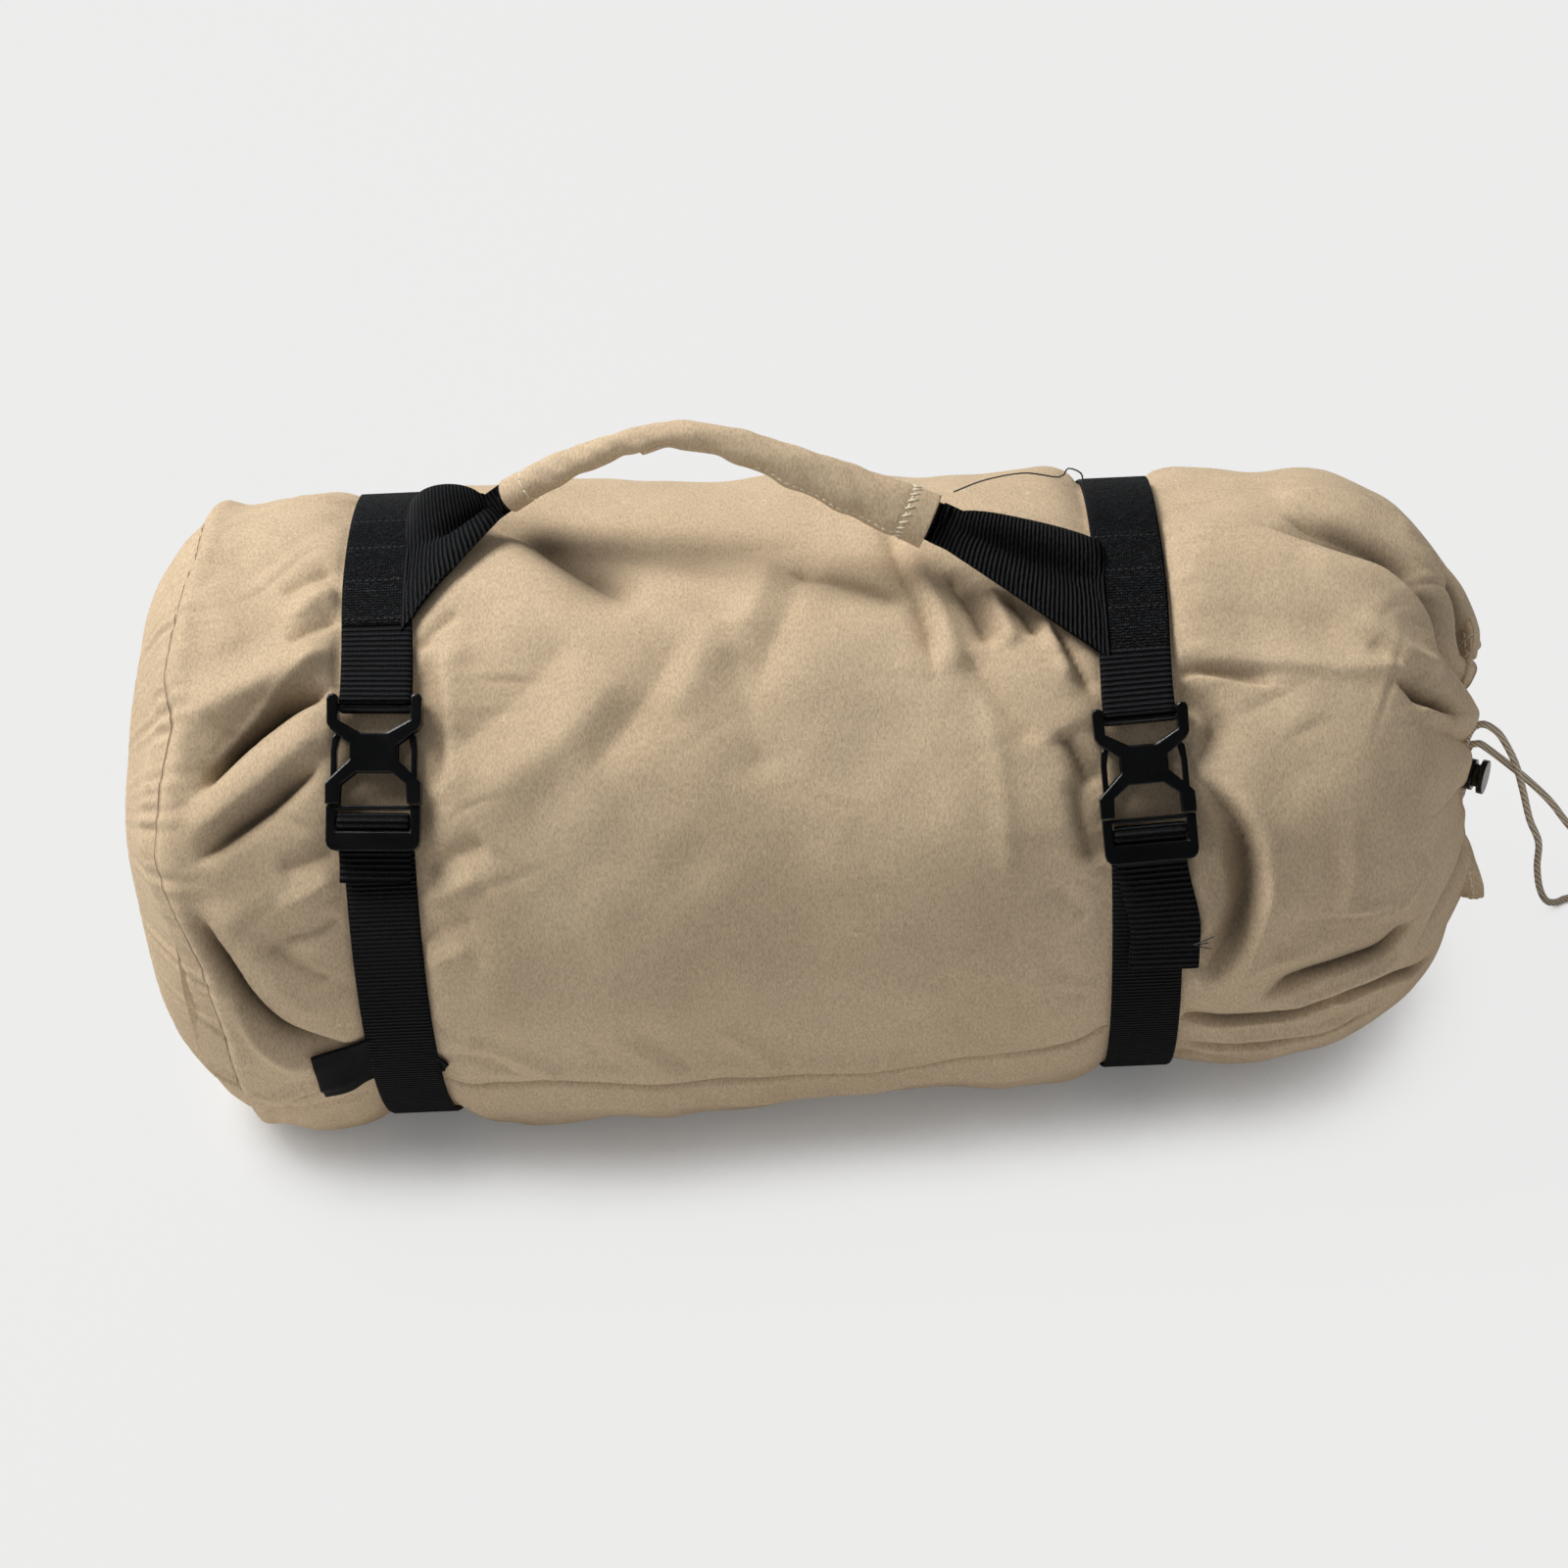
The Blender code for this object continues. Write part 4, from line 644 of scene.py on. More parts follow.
def seam_field(run, angle, seed):
    """The rolled edge at the closed end's seam, with the stitches' small puckers."""
    dice = np.random.RandomState(seed)
    away = run - SEAM_X
    puckers = np.zeros_like(run)
    for rounds in (61, 83, 97, 118):
        puckers += np.cos(rounds * np.radians(angle) + dice.uniform(0, 6.3))
    roll = -0.0048 * np.exp(-((away / 0.0024) ** 1.5))
    lip = 0.0010 * np.exp(-(((away - 0.0075) / 0.0040) ** 2))
    return roll + lip + 0.00022 * puckers * np.exp(-((away / 0.010) ** 1.5))


# The radii between which the gathers deepen, and how many rows past the body they fade
GATHER_RADII = (0.108, 0.045)
GATHER_FADE_ROWS = (77, 107)


def bag_lift(x, radius, angle, run):
    """How far each point of the cloth stands out of its smooth form, its painted shade and lean."""
    outer, deepest = GATHER_RADII
    gather = np.clip((outer - radius) / (outer - deepest), 0, 1) ** 1.3
    inner = 1 - smoothstep(*(BODY_STATIONS + rows for rows in GATHER_FADE_ROWS), ROWS)
    folds = CLOSED_END_FOLDS + BELLY_FOLDS + MOUTH_FOLDS + SEAM_LIPS + [BOTTOM_SEAM]
    lift, unshaded, lean = fold_field(run, angle, folds)
    lift += lumps(run, angle, 3, 26, 0.085, 0.0010)
    lift += lumps(run, angle, 5, 34, 0.030, 0.00030)
    lift += wrinkle_field(run, angle, 17)
    lift += pleat_field(angle, gather * (0.35 + 0.65 * inner))
    lift += edge_gathers(x, angle, 11)
    free = smoothstep(0, 0.016, run - SEAM_X)
    for side in STRAP_X:
        # Painted shadow of the buckle on the cloth behind and below it
        above = angle - BUCKLE_ANGLE[side] + BUCKLE_SHADOW_DROP
        behind = np.exp(-(((x - STRAP_X[side]) / BUCKLE_SHADOW_WIDTH) ** 4))
        behind *= np.exp(-((above / BUCKLE_SHADOW_HEIGHT) ** 4))
        unshaded = unshaded * (1 - BUCKLE_SHADOW * behind)
        lift = lift * smoothstep(-0.001, 0.004, strap_distance(x, side))
        lean = lean * smoothstep(0.002, 0.010, strap_distance(x, side))
    lift = lift * (0.1 + 0.9 * free)
    return lift + seam_field(run, angle, 23), unshaded, lean * free


# The height at which the cloth lies on the floor, and how softly it comes down to it
FLOOR_HEIGHT = 0.0006
FLOOR_SOFT = 0.006


def laid_down(y, z, x):
    """Flattens the cloth where it lies, and leaves room there for the straps."""
    z = FLOOR_HEIGHT + FLOOR_SOFT * np.logaddexp(0, (z - FLOOR_HEIGHT) / FLOOR_SOFT)
    for side in STRAP_X:
        under = 1 - smoothstep(0, 0.010, strap_distance(x, side))
        z = np.maximum(z, under * (WEBBING + GAP))
    return y, z


# The rolled canvas inside: its radius by the angle round it, and its mouth end's X; the
# cloth's clearance from it, how softly it is kept off and how far it may go in beyond it
ROLL_RADIUS = [
    (-180, 0.0987), (-120, 0.1004), (-60, 0.1033), (0, 0.1050), (60, 0.1077), (95, 0.1085),
    (121, 0.1090), (126, 0.0966), (180, 0.0987), (270, 0.1014),
]
ROLL_END = 0.164
ROLL_CLEAR = 0.0006
ROLL_SOFT = 0.0007
ROLL_FREE = 0.06


def outside_roll(radius, angle, x):
    """Keeps the folds' bottoms off the rolled canvas that fills the bag."""
    places, sizes = zip(*ROLL_RADIUS)
    least = np.interp(angle, places, sizes) + ROLL_CLEAR
    least = least - ROLL_FREE * smoothstep(ROLL_END, ROLL_END + 0.012, x)
    return least + ROLL_SOFT * np.logaddexp(0, (radius - least) / ROLL_SOFT)


def bag_points():
    """The cloth's points, its columns' angles, and how much of its colour each point keeps under painted
    shade.
    """
    x, radius, angle, run = bag_base()
    lift, unshaded, (lean_run, lean_round) = bag_lift(x, radius, angle, run)
    slope_x, slope_r = np.gradient(x, axis=0), np.gradient(radius, axis=0)
    size = np.hypot(slope_x, slope_r)
    radius = waists(x, radius)
    out_x = x + (lean_run * slope_x - lift * slope_r) / size
    out_r = radius + (lean_run * slope_r + lift * slope_x) / size
    out_r = outside_roll(out_r, angle, out_x)
    y, z = laid_down(*around(angle + np.degrees(lean_round / FOLD_RADIUS), out_r), out_x)
    return np.stack([out_x, y, z], axis=-1), angle[0], unshaded


def build_bag_cloth(look):
    """The bag's canvas tube, gathered at its mouth."""
    points, angle, unshaded = bag_points()
    uv = weave_uv(np.radians(np.append(angle, angle[0] + 360)) * FOLD_RADIUS, RUN)[..., ::-1]
    cloth = grid_piece("bag_cloth", points, look, closed_u=True, uv=uv)
    # The painted shade of the folds and behind the buckles, kept on the cloth's points for its material
    painted_shade_layer = cloth.data.attributes.new("unshaded", "FLOAT", "POINT")
    painted_shade_layer.data.foreach_set("value", unshaded.reshape(-1).astype(np.float32))
    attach(cloth, "bag")
    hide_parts("bag_shell")
    return points


# The panel's middle, its rings and how flat it bulges; X below which its hole is closed
END_CENTRE = (-0.2512, 0.0, AXIS_HEIGHT)
END_RINGS = 60
END_BULGE_SHAPE = 4.6
END_HOLE_X = -0.2480
END_LEAST_Z = 0.0022


def build_end_panel(look, rim):
    """The round panel, bulging out of the closed end, sewn to the tube along its rim."""
    centre = np.array(END_CENTRE)
    share = 1 - np.linspace(0, 1, END_RINGS) ** 1.3
    turn = np.arctan2(rim[:, 2] - AXIS_HEIGHT, -rim[:, 1])
    points = np.zeros((END_RINGS, len(rim), 3))
    puckers = sum(np.cos(rounds * turn + rounds) for rounds in (59, 79, 101, 127))
    for row, part in enumerate(share):
        ring = centre + (rim - centre) * part
        ring[:, 0] = centre[0] + (rim[:, 0] - centre[0]) * part**END_BULGE_SHAPE
        away = 1 - part
        lip = 0.0012 * math.exp(-(((away - 0.05) / 0.035) ** 2))
        fade = math.exp(-((away / 0.07) ** 1.5)) * min(away * 80, 1)
        ring[:, 0] -= lip + 0.00028 * puckers * fade
        points[row] = ring
    calm = np.clip((1 - share) * 12, 0, 1)[:, None]
    y, z = points[..., 1], points[..., 2]
    swell = 0.0016 * np.sin(61 * y + 1) * np.cos(47 * z) + 0.0010 * np.sin(115 * y - 70 * z + 2)
    crease = 0.0007 * np.exp(-(((y + 0.35 * z) + 0.075) / 0.007) ** 2)
    crease += 0.0006 * np.exp(-(((y - 0.5 * z) + 0.11) / 0.006) ** 2)
    points[..., 0] += calm * (swell + crease)
    points[..., 2] = np.maximum(z, END_LEAST_Z)
    points = points[:-1]
    closed = np.concatenate([points, points[:, :1]], axis=1)
    panel = grid_piece("end_panel_cloth", points, look, closed_u=True, uv=closed[..., 1:])
    close_ends(panel.data, END_HOLE_X)
    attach(panel, "bag")
    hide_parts("bag_end_panel")


# How far the buckles' plane lies above the webbing's seat
BUCKLE_LIFT = 0.0011


def strap_frame(side):
    """A buckle's own frame: across the strap, up along it, and out of the bag."""
    turn = math.radians(BUCKLE_ANGLE[side])
    outward = Vector((0, -math.cos(turn), math.sin(turn)))
    up = Vector((0, math.sin(turn), math.cos(turn)))
    across = Vector((1, 0, 0))
    y, z = around(BUCKLE_ANGLE[side], seat_radius(side) + BUCKLE_LIFT)
    turned = Matrix((across, up, outward)).transposed().to_4x4()
    return Matrix.Translation(Vector((STRAP_X[side], float(y), float(z)))) @ turned


def in_section(side, y, z):
    """Y and Z, in the bag's frame, of a point in the middle of a buckle's own."""
    point = strap_frame(side) @ Vector((0, y, z))
    return np.array([point.y, point.z])


def arc(radius, start, end, step=1.2):
    """Y and Z of points round the bag, about step degrees apart."""
    count = max(2, int(abs(end - start) / step))
    y, z = around(np.linspace(start, end, count), radius)
    return np.stack([y, z], 1)


def leaving_angle(point, radius):
    """The angle above a point at which webbing from it comes to lie on the bag."""
    away = point - np.array([0, AXIS_HEIGHT])
    reach = math.degrees(math.acos(min(radius / np.hypot(*away), 1)))
    return angle_of(*point) + reach


def round_bar(side, y, z, radius, start, end, count=14):
    """Points round one of the buckle's bars, from one turn to another, in its section."""
    turns = np.radians(np.linspace(start, end, count))
    return [in_section(side, y + radius * math.sin(t), z + radius * math.cos(t)) for t in turns]


def slanted(points, side):
    """Turns webbing with its buckle, and fades the turn out beyond its ends."""
    slant = math.sin(math.radians(BUCKLE_SLANT[side]))
    offset = points[..., 0] - STRAP_X[side]
    away_y, away_z = points[..., 1], points[..., 2] - AXIS_HEIGHT
    angle = np.degrees(np.arctan2(away_z, -away_y))
    radius = np.hypot(away_y, away_z)
    ahead = seat_radius(side) * np.radians(angle - BUCKLE_ANGLE[side])
    beyond = np.maximum(np.abs(ahead) - SOCKET_TOP, 0)
    fade = 0.5 + 0.5 * np.cos(math.pi * np.minimum(beyond / SLANT_FADE, 1))
    ahead = np.clip(ahead, -SOCKET_TOP, SOCKET_TOP)
    angle = angle + np.degrees(offset * slant / radius) * fade
    y, z = around(angle, radius)
    return np.stack([points[..., 0] - ahead * slant * fade, y, z], axis=-1)


# Webbing's section: shares of its half width, the selvedge's share and its thinner edge
SECTION_SHARES = (-1, -0.985, -0.93, -0.80, -0.5, 0, 0.5, 0.80, 0.93, 0.985, 1)
SELVEDGE = 0.07
EDGE_THICKNESS = 0.55
WEBBING_STEP = 0.0012
SMOOTHINGS = 3
# A tail drifts aside by this much (m), over this height below its buckle
TAIL_DRIFT = {"left": -0.0030, "right": 0.0056}
TAIL_DRIFT_HEIGHT = 0.03


def webbing_section(half, thick):
    """The outline across webbing: places across it and heights, all the way round."""
    top = []
    for share in SECTION_SHARES:
        edge = min((1 - abs(share)) / SELVEDGE, 1)
        height = thick / 2 * min(1, EDGE_THICKNESS + (1 - EDGE_THICKNESS) * edge)
        top.append((share * half, height))
    return np.array(top + [(across, -height) for across, height in reversed(top)])


def tail_drift(points, side):
    """How far a strap's loose tail hangs aside, by its height."""
    low = strap_frame(side).translation.z - SOCKET_TOP * 0.75
    return TAIL_DRIFT[side] * smoothstep(0, TAIL_DRIFT_HEIGHT, low - points[..., 2])


def webbing_piece(name, path, side, look, section, slant=True, drift=False):
    """A woven strap along a path of its middle line, with thin rounded selvedges."""
    path = np.array(path)
    run = run_along(path)
    keep = np.concatenate([[True], np.diff(run) > 1e-6])
    path, run = path[keep], run[keep]
    wanted = np.linspace(0, run[-1], max(8, int(run[-1] / WEBBING_STEP)))
    line = sampled(path, run, wanted)
    for _ in range(SMOOTHINGS):
        line[1:-1] = (line[:-2] + 2 * line[1:-1] + line[2:]) / 4
    along = unit(np.gradient(line, axis=0))
    normal = np.stack([-along[:, 1], along[:, 0]], 1)
    across, height = section.T
    points = np.zeros((len(line), len(section), 3))
    points[..., 0] = STRAP_X[side] + across
    points[..., 1:] = line[:, None] + normal[:, None] * height[None, :, None]
    if drift:
        points[..., 0] += tail_drift(points, side)
    if slant:
        points = slanted(points, side)
    uv = weave_uv(run_along(np.concatenate([section, section[:1]])), wanted)
    piece = grid_piece(name, points, look, closed_u=True, uv=uv)
    close_ends(piece.data, turn_out=True)
    return piece


# The buckle's bars and the webbing's bends round them, in the buckle's own frame
BAR_RADIUS = 0.0015
BAR_Y = SOCKET_TOP - 0.0046
LOOP_RADIUS = BAR_RADIUS + GAP + WEBBING
PLUG_BAR = 0.0013
SLOT_TOP = SOCKET_TOP - 0.0387 - FIT - 0.0015
ADJUSTER_RADIUS = PLUG_BAR + GAP + WEBBING
ADJUSTER_Y = SLOT_TOP - ADJUSTER_RADIUS - FIT
ADJUSTER_Z = ADJUSTER_RADIUS + GAP
# The angle at the top back from which the webbing starts
STRAP_START = 115
# The webbing's section for the straps
STRAP_SECTION = webbing_section(STRAP_HALF, WEBBING)


def upper_path(side):
    """Doubled webbing: down to the socket's bar, round it, and back."""
    inner = seat_radius(side) + GAP + WEBBING / 2
    outer = inner + WEBBING
    touch = leaving_angle(in_section(side, BAR_Y, LOOP_RADIUS), (inner + outer) / 2)
    return [
        *arc(outer, STRAP_START, touch + 1.5),
        *round_bar(side, BAR_Y, LOOP_RADIUS, LOOP_RADIUS - WEBBING / 2, 20, 250, 22),
        *arc(inner, touch + 3, STRAP_START),
    ]


def band_path(side):
    """Round the back and under the bag, up to the plug's bar."""
    end = 360 + angle_of(*in_section(side, ADJUSTER_Y, 0))
    path = arc(seat_radius(side) + GAP + WEBBING / 2, STRAP_START + 0.3, end)
    path[:, 1] = np.maximum(path[:, 1], WEBBING / 2)
    return path


def tail_path(side):
    """Round the plug's bar and down outside the band, to the loose end."""
    radius = seat_radius(side) + 2 * GAP + WEBBING * 3 / 2
    foot = angle_of(*in_section(side, -SOCKET_TOP, 0))
    last = foot - math.degrees(TAIL_LENGTH[side] / radius)
    return [
        *round_bar(side, ADJUSTER_Y, ADJUSTER_Z, ADJUSTER_RADIUS - WEBBING / 2, 180, -20, 20),
        in_section(side, -SOCKET_TOP + 0.0048, 0.0016),
        in_section(side, -SOCKET_TOP + 0.0030, 0.0006),
        *arc(radius, foot - 0.5, last + 3),
        *arc(radius + 0.0007, last + 2, last),
    ]


def build_straps(look, band_look):
    """Each strap in three lengths: above the socket, round the bag, and the plug's tail."""
    for side in STRAP_X:
        name = f"webbing_{side}_upper"
        piece = webbing_piece(name, upper_path(side), side, look, STRAP_SECTION)
        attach(piece, "bag")
        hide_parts(f"strap_{side}_socket_webbing")

        name = f"webbing_{side}_band"
        piece = webbing_piece(name, band_path(side), side, band_look, STRAP_SECTION, slant=False)
        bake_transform(piece)
        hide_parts(f"strap_{side}_band")

        name = f"webbing_{side}_tail"
        piece = webbing_piece(name, tail_path(side), side, look, STRAP_SECTION, drift=True)
        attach(piece, f"{side}_plug")
        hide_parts(f"strap_{side}_adjuster_webbing")


THREAD_SIDES = 6
STITCH_POINTS = 6


def thread_piece(name, lines, radius, look, body="bag"):
    """One mesh of round threads, one along each line."""
    vertices, faces = [], []
    turns = np.linspace(0, 2 * np.pi, THREAD_SIDES, endpoint=False)
    for line in lines:
        line = np.array(line)
        along = unit(np.gradient(line, axis=0))
        first = unit(np.cross(along, np.array([0.31, 0.52, 0.79])))
        second = np.cross(along, first)
        start = len(vertices)
        for centre, one, two in zip(line, first, second):
            for turn in turns:
                away = math.cos(turn) * one + math.sin(turn) * two
                vertices.append(tuple(centre + radius * away))
        for low in range(start, len(vertices) - THREAD_SIDES, THREAD_SIDES):
            high = low + THREAD_SIDES
            for k in range(THREAD_SIDES):
                after = (k + 1) % THREAD_SIDES
                faces.append((low + k, low + after, high + after, high + k))
        faces.append(tuple(reversed(range(start, start + THREAD_SIDES))))
        faces.append(tuple(range(len(vertices) - THREAD_SIDES, len(vertices))))
    mesh = bpy.data.meshes.new(name)
    mesh.from_pydata(vertices, [], faces)
    mesh.shade_smooth()
    mesh.materials.append(look)
    piece = add_object(name, mesh)
    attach(piece, body)
    return piece


def stitches(line, dash, space, sink):
    """Cuts a line into short threads whose ends dip by sink, a vector into the cloth."""
    line = np.array(line)
    run = run_along(line)
    dip = (np.abs(np.linspace(-1, 1, STITCH_POINTS)) ** 3)[:, None]
    made = []
    start = 0.0
    while start + dash <= run[-1]:
        thread = sampled(line, run, np.linspace(start, start + dash, STITCH_POINTS))
        made.append(thread + dip * np.array(sink))
        start += dash + space
    return made


def cloth_at(x, angle, lift=0.0):
    """A point on the bag's cloth, lift metres above it."""
    angles = bag_angles()
    column = int(np.abs((angles - angle + 180) % 360 - 180).argmin())
    rows = CLOTH_POINTS[:BODY_STATIONS, column]
    y, z = (float(np.interp(x, rows[:, 0], rows[:, k])) for k in (1, 2))
    away = np.array([y, z - AXIS_HEIGHT])
    away *= 1 + lift / np.hypot(*away)
    return np.array([x, away[0], AXIS_HEIGHT + away[1]])


# The label's upper and lower corners, and those of its end beyond the strap: X and angle
LABEL_PARTS = {
    "label_cloth": [(-0.1853, -8.3), (-0.1630, -5.7), (-0.1838, -21.5), (-0.1610, -18.5)],
    "label_end": [(-0.1450, -9.5), (-0.1368, -13.5), (-0.1450, -18.5), (-0.1390, -17.9)],
}
LABEL_GRID = (19, 21)
LABEL_SIZE = (0.022, 0.016)
LABEL_THICKNESS = 0.0007
LABEL_CLEAR = 0.0005
LABEL_LIFT = 0.0016
LABEL_SMOOTHINGS = 10


def label_radii(xs, angles):
    """Radii that keep a smooth sheet just above the cloth's folds."""
    cloth = np.zeros(xs.shape)
    for place in np.ndindex(xs.shape):
        point = cloth_at(xs[place], angles[place])
        cloth[place] = math.hypot(point[1], point[2] - AXIS_HEIGHT)
    radii = cloth.copy()
    for _ in range(LABEL_SMOOTHINGS):
        padded = np.pad(radii, 1, mode="edge")
        calm = (padded[:-2, 1:-1] + padded[2:, 1:-1] + padded[1:-1, :-2] + padded[1:-1, 2:]) / 4
        radii = np.maximum(calm, cloth)
    return radii + LABEL_CLEAR


def build_label(look):
    """The bare label: its lower edge is caught in the bottom seam, its upper edge stands off."""
    rows, columns = LABEL_GRID
    up, across = np.meshgrid(np.linspace(0, 1, rows), np.linspace(0, 1, columns), indexing="ij")
    uv = np.stack([across * LABEL_SIZE[0], up * LABEL_SIZE[1]], axis=-1)
    for name, corners in LABEL_PARTS.items():
        high_left, high_right, low_left, low_right = np.array(corners)[:, :, None, None]
        low = low_left + (low_right - low_left) * across
        high = high_left + (high_right - high_left) * across
        xs, angles = low * (1 - up) + high * up
        y, z = around(angles, label_radii(xs, angles) + LABEL_LIFT * up**2)
        points = np.stack([xs, y, z], axis=-1)
        piece = grid_piece(name, points, look, uv=uv, thickness=LABEL_THICKNESS)
        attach(piece, "bag")
        if name == "label_cloth":
            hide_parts("bag_label")


# The hem's free edge round the mouth: angle in degrees, radius and X in mm
HEM_EDGE = [
    (-170, 50, 247), (-148, 44, 248), (-126, 51, 247), (-104, 49, 247), (-84, 53, 246),
    (-66, 54, 249), (-50, 54, 252), (-36, 50, 251), (-22, 42, 246), (0, 38, 240), (20, 38, 237),
    (44, 42, 236), (62, 46, 238), (74, 56, 243), (86, 63, 246), (97, 62, 246), (108, 52, 244),
    (128, 46, 246), (152, 51, 246), (172, 47, 247),
]
# The hem's seam, where the channel's outer and inner sides start as radius and X, its
# thickness and how far it puffs out (m), its rows and columns, and its row of stitches
HEM_SEAM_ANGLES = (86, 80)
HEM_ROOT = (0.0440, 0.2300)
HEM_THROAT = (0.0250, 0.2370)
HEM_FOLD = 0.0030
HEM_PUFF = 0.0012
HEM_GRID = (15, 360)
HEM_STITCH_ROW = 5


def round_ring(values, count):
    """Values given round the mouth, smoothed to count even steps."""
    knots = np.array(values, float)
    knots = np.concatenate([knots[-3:] - [360, 0, 0], knots, knots[:3] + [360, 0, 0]])
    dense = smooth_line(knots, 0.8)
    angles = np.linspace(-180, 180, count, endpoint=False)
    return angles, *(np.interp(angles, dense[:, 0], dense[:, k]) / 1000 for k in (1, 2))


def build_mouth_hem(look):
    """The drawcord's channel, ruffled round the mouth, with its stitched edge."""
    rows, columns = HEM_GRID
    angles, edge_r, edge_x = round_ring(HEM_EDGE, columns)
    points = np.zeros((2 * rows, columns, 3))
    flutter = 0.0006 * np.sin(np.radians(angles) * 23) + 0.0004 * np.sin(np.radians(angles) * 41 + 1)
    for row in range(rows):
        share = row / (rows - 1)
        puff = math.sin(math.pi * share)
        thick = HEM_FOLD * 0.5 * math.sqrt(max(1 - share**6, 0)) + HEM_PUFF * puff
        for half, (far_r, far_x), sign in ((row, HEM_ROOT, 1), (2 * rows - 1 - row, HEM_THROAT, -1)):
            radius = far_r + (edge_r - far_r) * share + sign * thick
            x = far_x + (edge_x - far_x) * share**0.8 + (HEM_PUFF + flutter) * puff
            y, z = around(angles, radius + flutter * share)
            points[half] = np.stack([x, y, z], axis=-1)
    uv = weave_uv(np.linspace(0, 2 * np.pi * 0.05, columns + 1), np.linspace(0, 0.04, 2 * rows))
    piece = grid_piece("mouth_hem_cloth", points, look, closed_u=True, uv=uv)
    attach(piece, "bag")
    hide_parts("mouth_hem")
    row = points[rows - HEM_STITCH_ROW]
    threads = stitches([*row, row[0]], 0.0030, 0.0012, (-0.0006, 0, 0))
    for angle in HEM_SEAM_ANGLES:
        seam = points[3:rows, int(np.abs(angles - angle).argmin())] + [0, -0.0003, 0.0003]
        threads += stitches(seam, 0.0028, 0.0006, (0, 0, -0.0002))
    thread_piece("hem_stitches", threads, 0.00034, PALE_THREAD)


def build_knot(look):
    """The overhand knot that joins the drawcord's two ends."""
    turns = np.linspace(0, 2 * np.pi, 90)
    ring = 0.0030 + 0.0016 * np.cos(3 * turns)
    line = np.stack([
        KNOT_CENTRE[0] + ring * np.cos(2 * turns),
        KNOT_CENTRE[1] + ring * np.sin(2 * turns),
        KNOT_CENTRE[2] + 0.0017 * np.sin(3 * turns),
    ], 1)
    piece = thread_piece("knot_cord", [line], CORD_DIAMETER * 0.46, look)
    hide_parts("drawcord_knot")


# The webbing sewn over each strap: the angle of its lower end, its thickness, the angle of
# its upper end, its rows of stitches as shares of their spread in degrees, how far the
# lowest lies from the end, and how far webbing and stitches keep from the strap's edges
OVERLAY_END = {"left": 72.0, "right": 61.0}
OVERLAY_THICK = 0.0007
OVERLAY_START = 114.5
OVERLAY_ROWS = (0.0, 0.33, 0.66, 1.0)
OVERLAY_SPREAD = 26
OVERLAY_FIRST_ROW = 1.2
OVERLAY_INSET = 0.0006
OVERLAY_STITCH_INSET = 0.0012
OVERLAY_SINK = 0.0001


def build_overlays(look):
    """The stitched zone, where the handle's webbing is sewn to the strap."""
    section = webbing_section(STRAP_HALF - OVERLAY_INSET, OVERLAY_THICK)
    places = np.linspace(-1, 1, 30) * (STRAP_HALF - OVERLAY_STITCH_INSET)
    for side in STRAP_X:
        radius = seat_radius(side) + GAP + 2 * WEBBING + OVERLAY_THICK / 2 - OVERLAY_SINK
        path = arc(radius, OVERLAY_START, OVERLAY_END[side])
        piece = webbing_piece(f"overlay_{side}", path, side, look, section)
        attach(piece, "bag")
        threads = []
        for share in OVERLAY_ROWS:
            angle = OVERLAY_END[side] + OVERLAY_FIRST_ROW + share * OVERLAY_SPREAD
            y, z = around(angle, radius + OVERLAY_THICK / 2)
            line = np.array([(STRAP_X[side] + place, y, z) for place in places])
            threads += stitches(slanted(line, side), 0.0016, 0.0007, (0, 0.0002, -0.0004))
        thread_piece(f"overlay_stitches_{side}", threads, 0.00022, BLACK_THREAD)


# The loose thread's course above the right flare
LOOSE_THREAD_PLACES = [
    (0.0556, 0.010, 0.2352), (0.0669, 0.010, 0.2398), (0.0810, 0.010, 0.2421),
    (0.0938, 0.010, 0.2397), (0.0969, 0.010, 0.2433), (0.1015, 0.010, 0.2410),
    (0.1023, 0.010, 0.2370),
]
# The frayed ends at the right tail's corner: how far each leans up, and its length (m)
FRAYED_ENDS = ((0.9, 0.008), (0.3, 0.006), (-0.4, 0.007))


def build_loose_threads(look):
    """The black thread end that lies above the right flare, and three at the tail's edge."""
    line = smooth_line(LOOSE_THREAD_PLACES, 0.0015)
    thread_piece("loose_thread", [line], 0.00032, look)
    corner = in_section("right", -SOCKET_TOP - 0.030, -0.0005)
    start = np.array([STRAP_X["right"] + STRAP_HALF + 0.0026, *corner])
    steps = np.linspace(0, 1, 7)[:, None]
    ends = []
    for lean, reach in FRAYED_ENDS:
        way = reach * np.array([0.8, -0.25, lean * 0.6])
        ends.append(start + steps * way + steps**2 * [0, 0, 0.001])
    thread_piece("tail_threads", ends, 0.00022, look, "right_plug")


# The flares: the angles between which each is sewn down, and its width at the sleeve
ANCHOR_ANGLES = {"left": (70.5, 101.0), "right": (60.5, 85.5)}
ANCHOR_TIP = {"left": 0.0104, "right": 0.0150}
ANCHOR_THICK = 0.0016
ANCHOR_LAP = 0.0030
FLARE_GRID = (61, 65)
# From what share on a flare narrows no more and runs on into the sleeve, how far it runs on
# and narrows short of the handle's end, and how far it keeps off the cloth
FLARE_ENTRY = 0.9
FLARE_ENTRY_LENGTH = 0.007
FLARE_TIP = 0.004
FLARE_CLEAR = 0.0030
# The folds along each flare: place across it, half width, height in mm, and where along
# it they are highest, from its root to the sleeve
FLARE_FOLDS = {
    "left": [(1.0, 0.26, 9.5, 0.35), (0.60, 0.09, -6.0, 0.75), (0.15, 0.25, 2.6, 0.4)],
    "right": [(0.90, 0.22, 5.0, 0.28), (0.60, 0.14, -3.0, 0.4), (0.25, 0.2, 1.6, 0.5)],
}


def waist_radius(x):
    """The bag's smooth radius at X, drawn in under the straps."""
    return float(waists(np.array([x]), np.array([body_radius(x)]))[0])


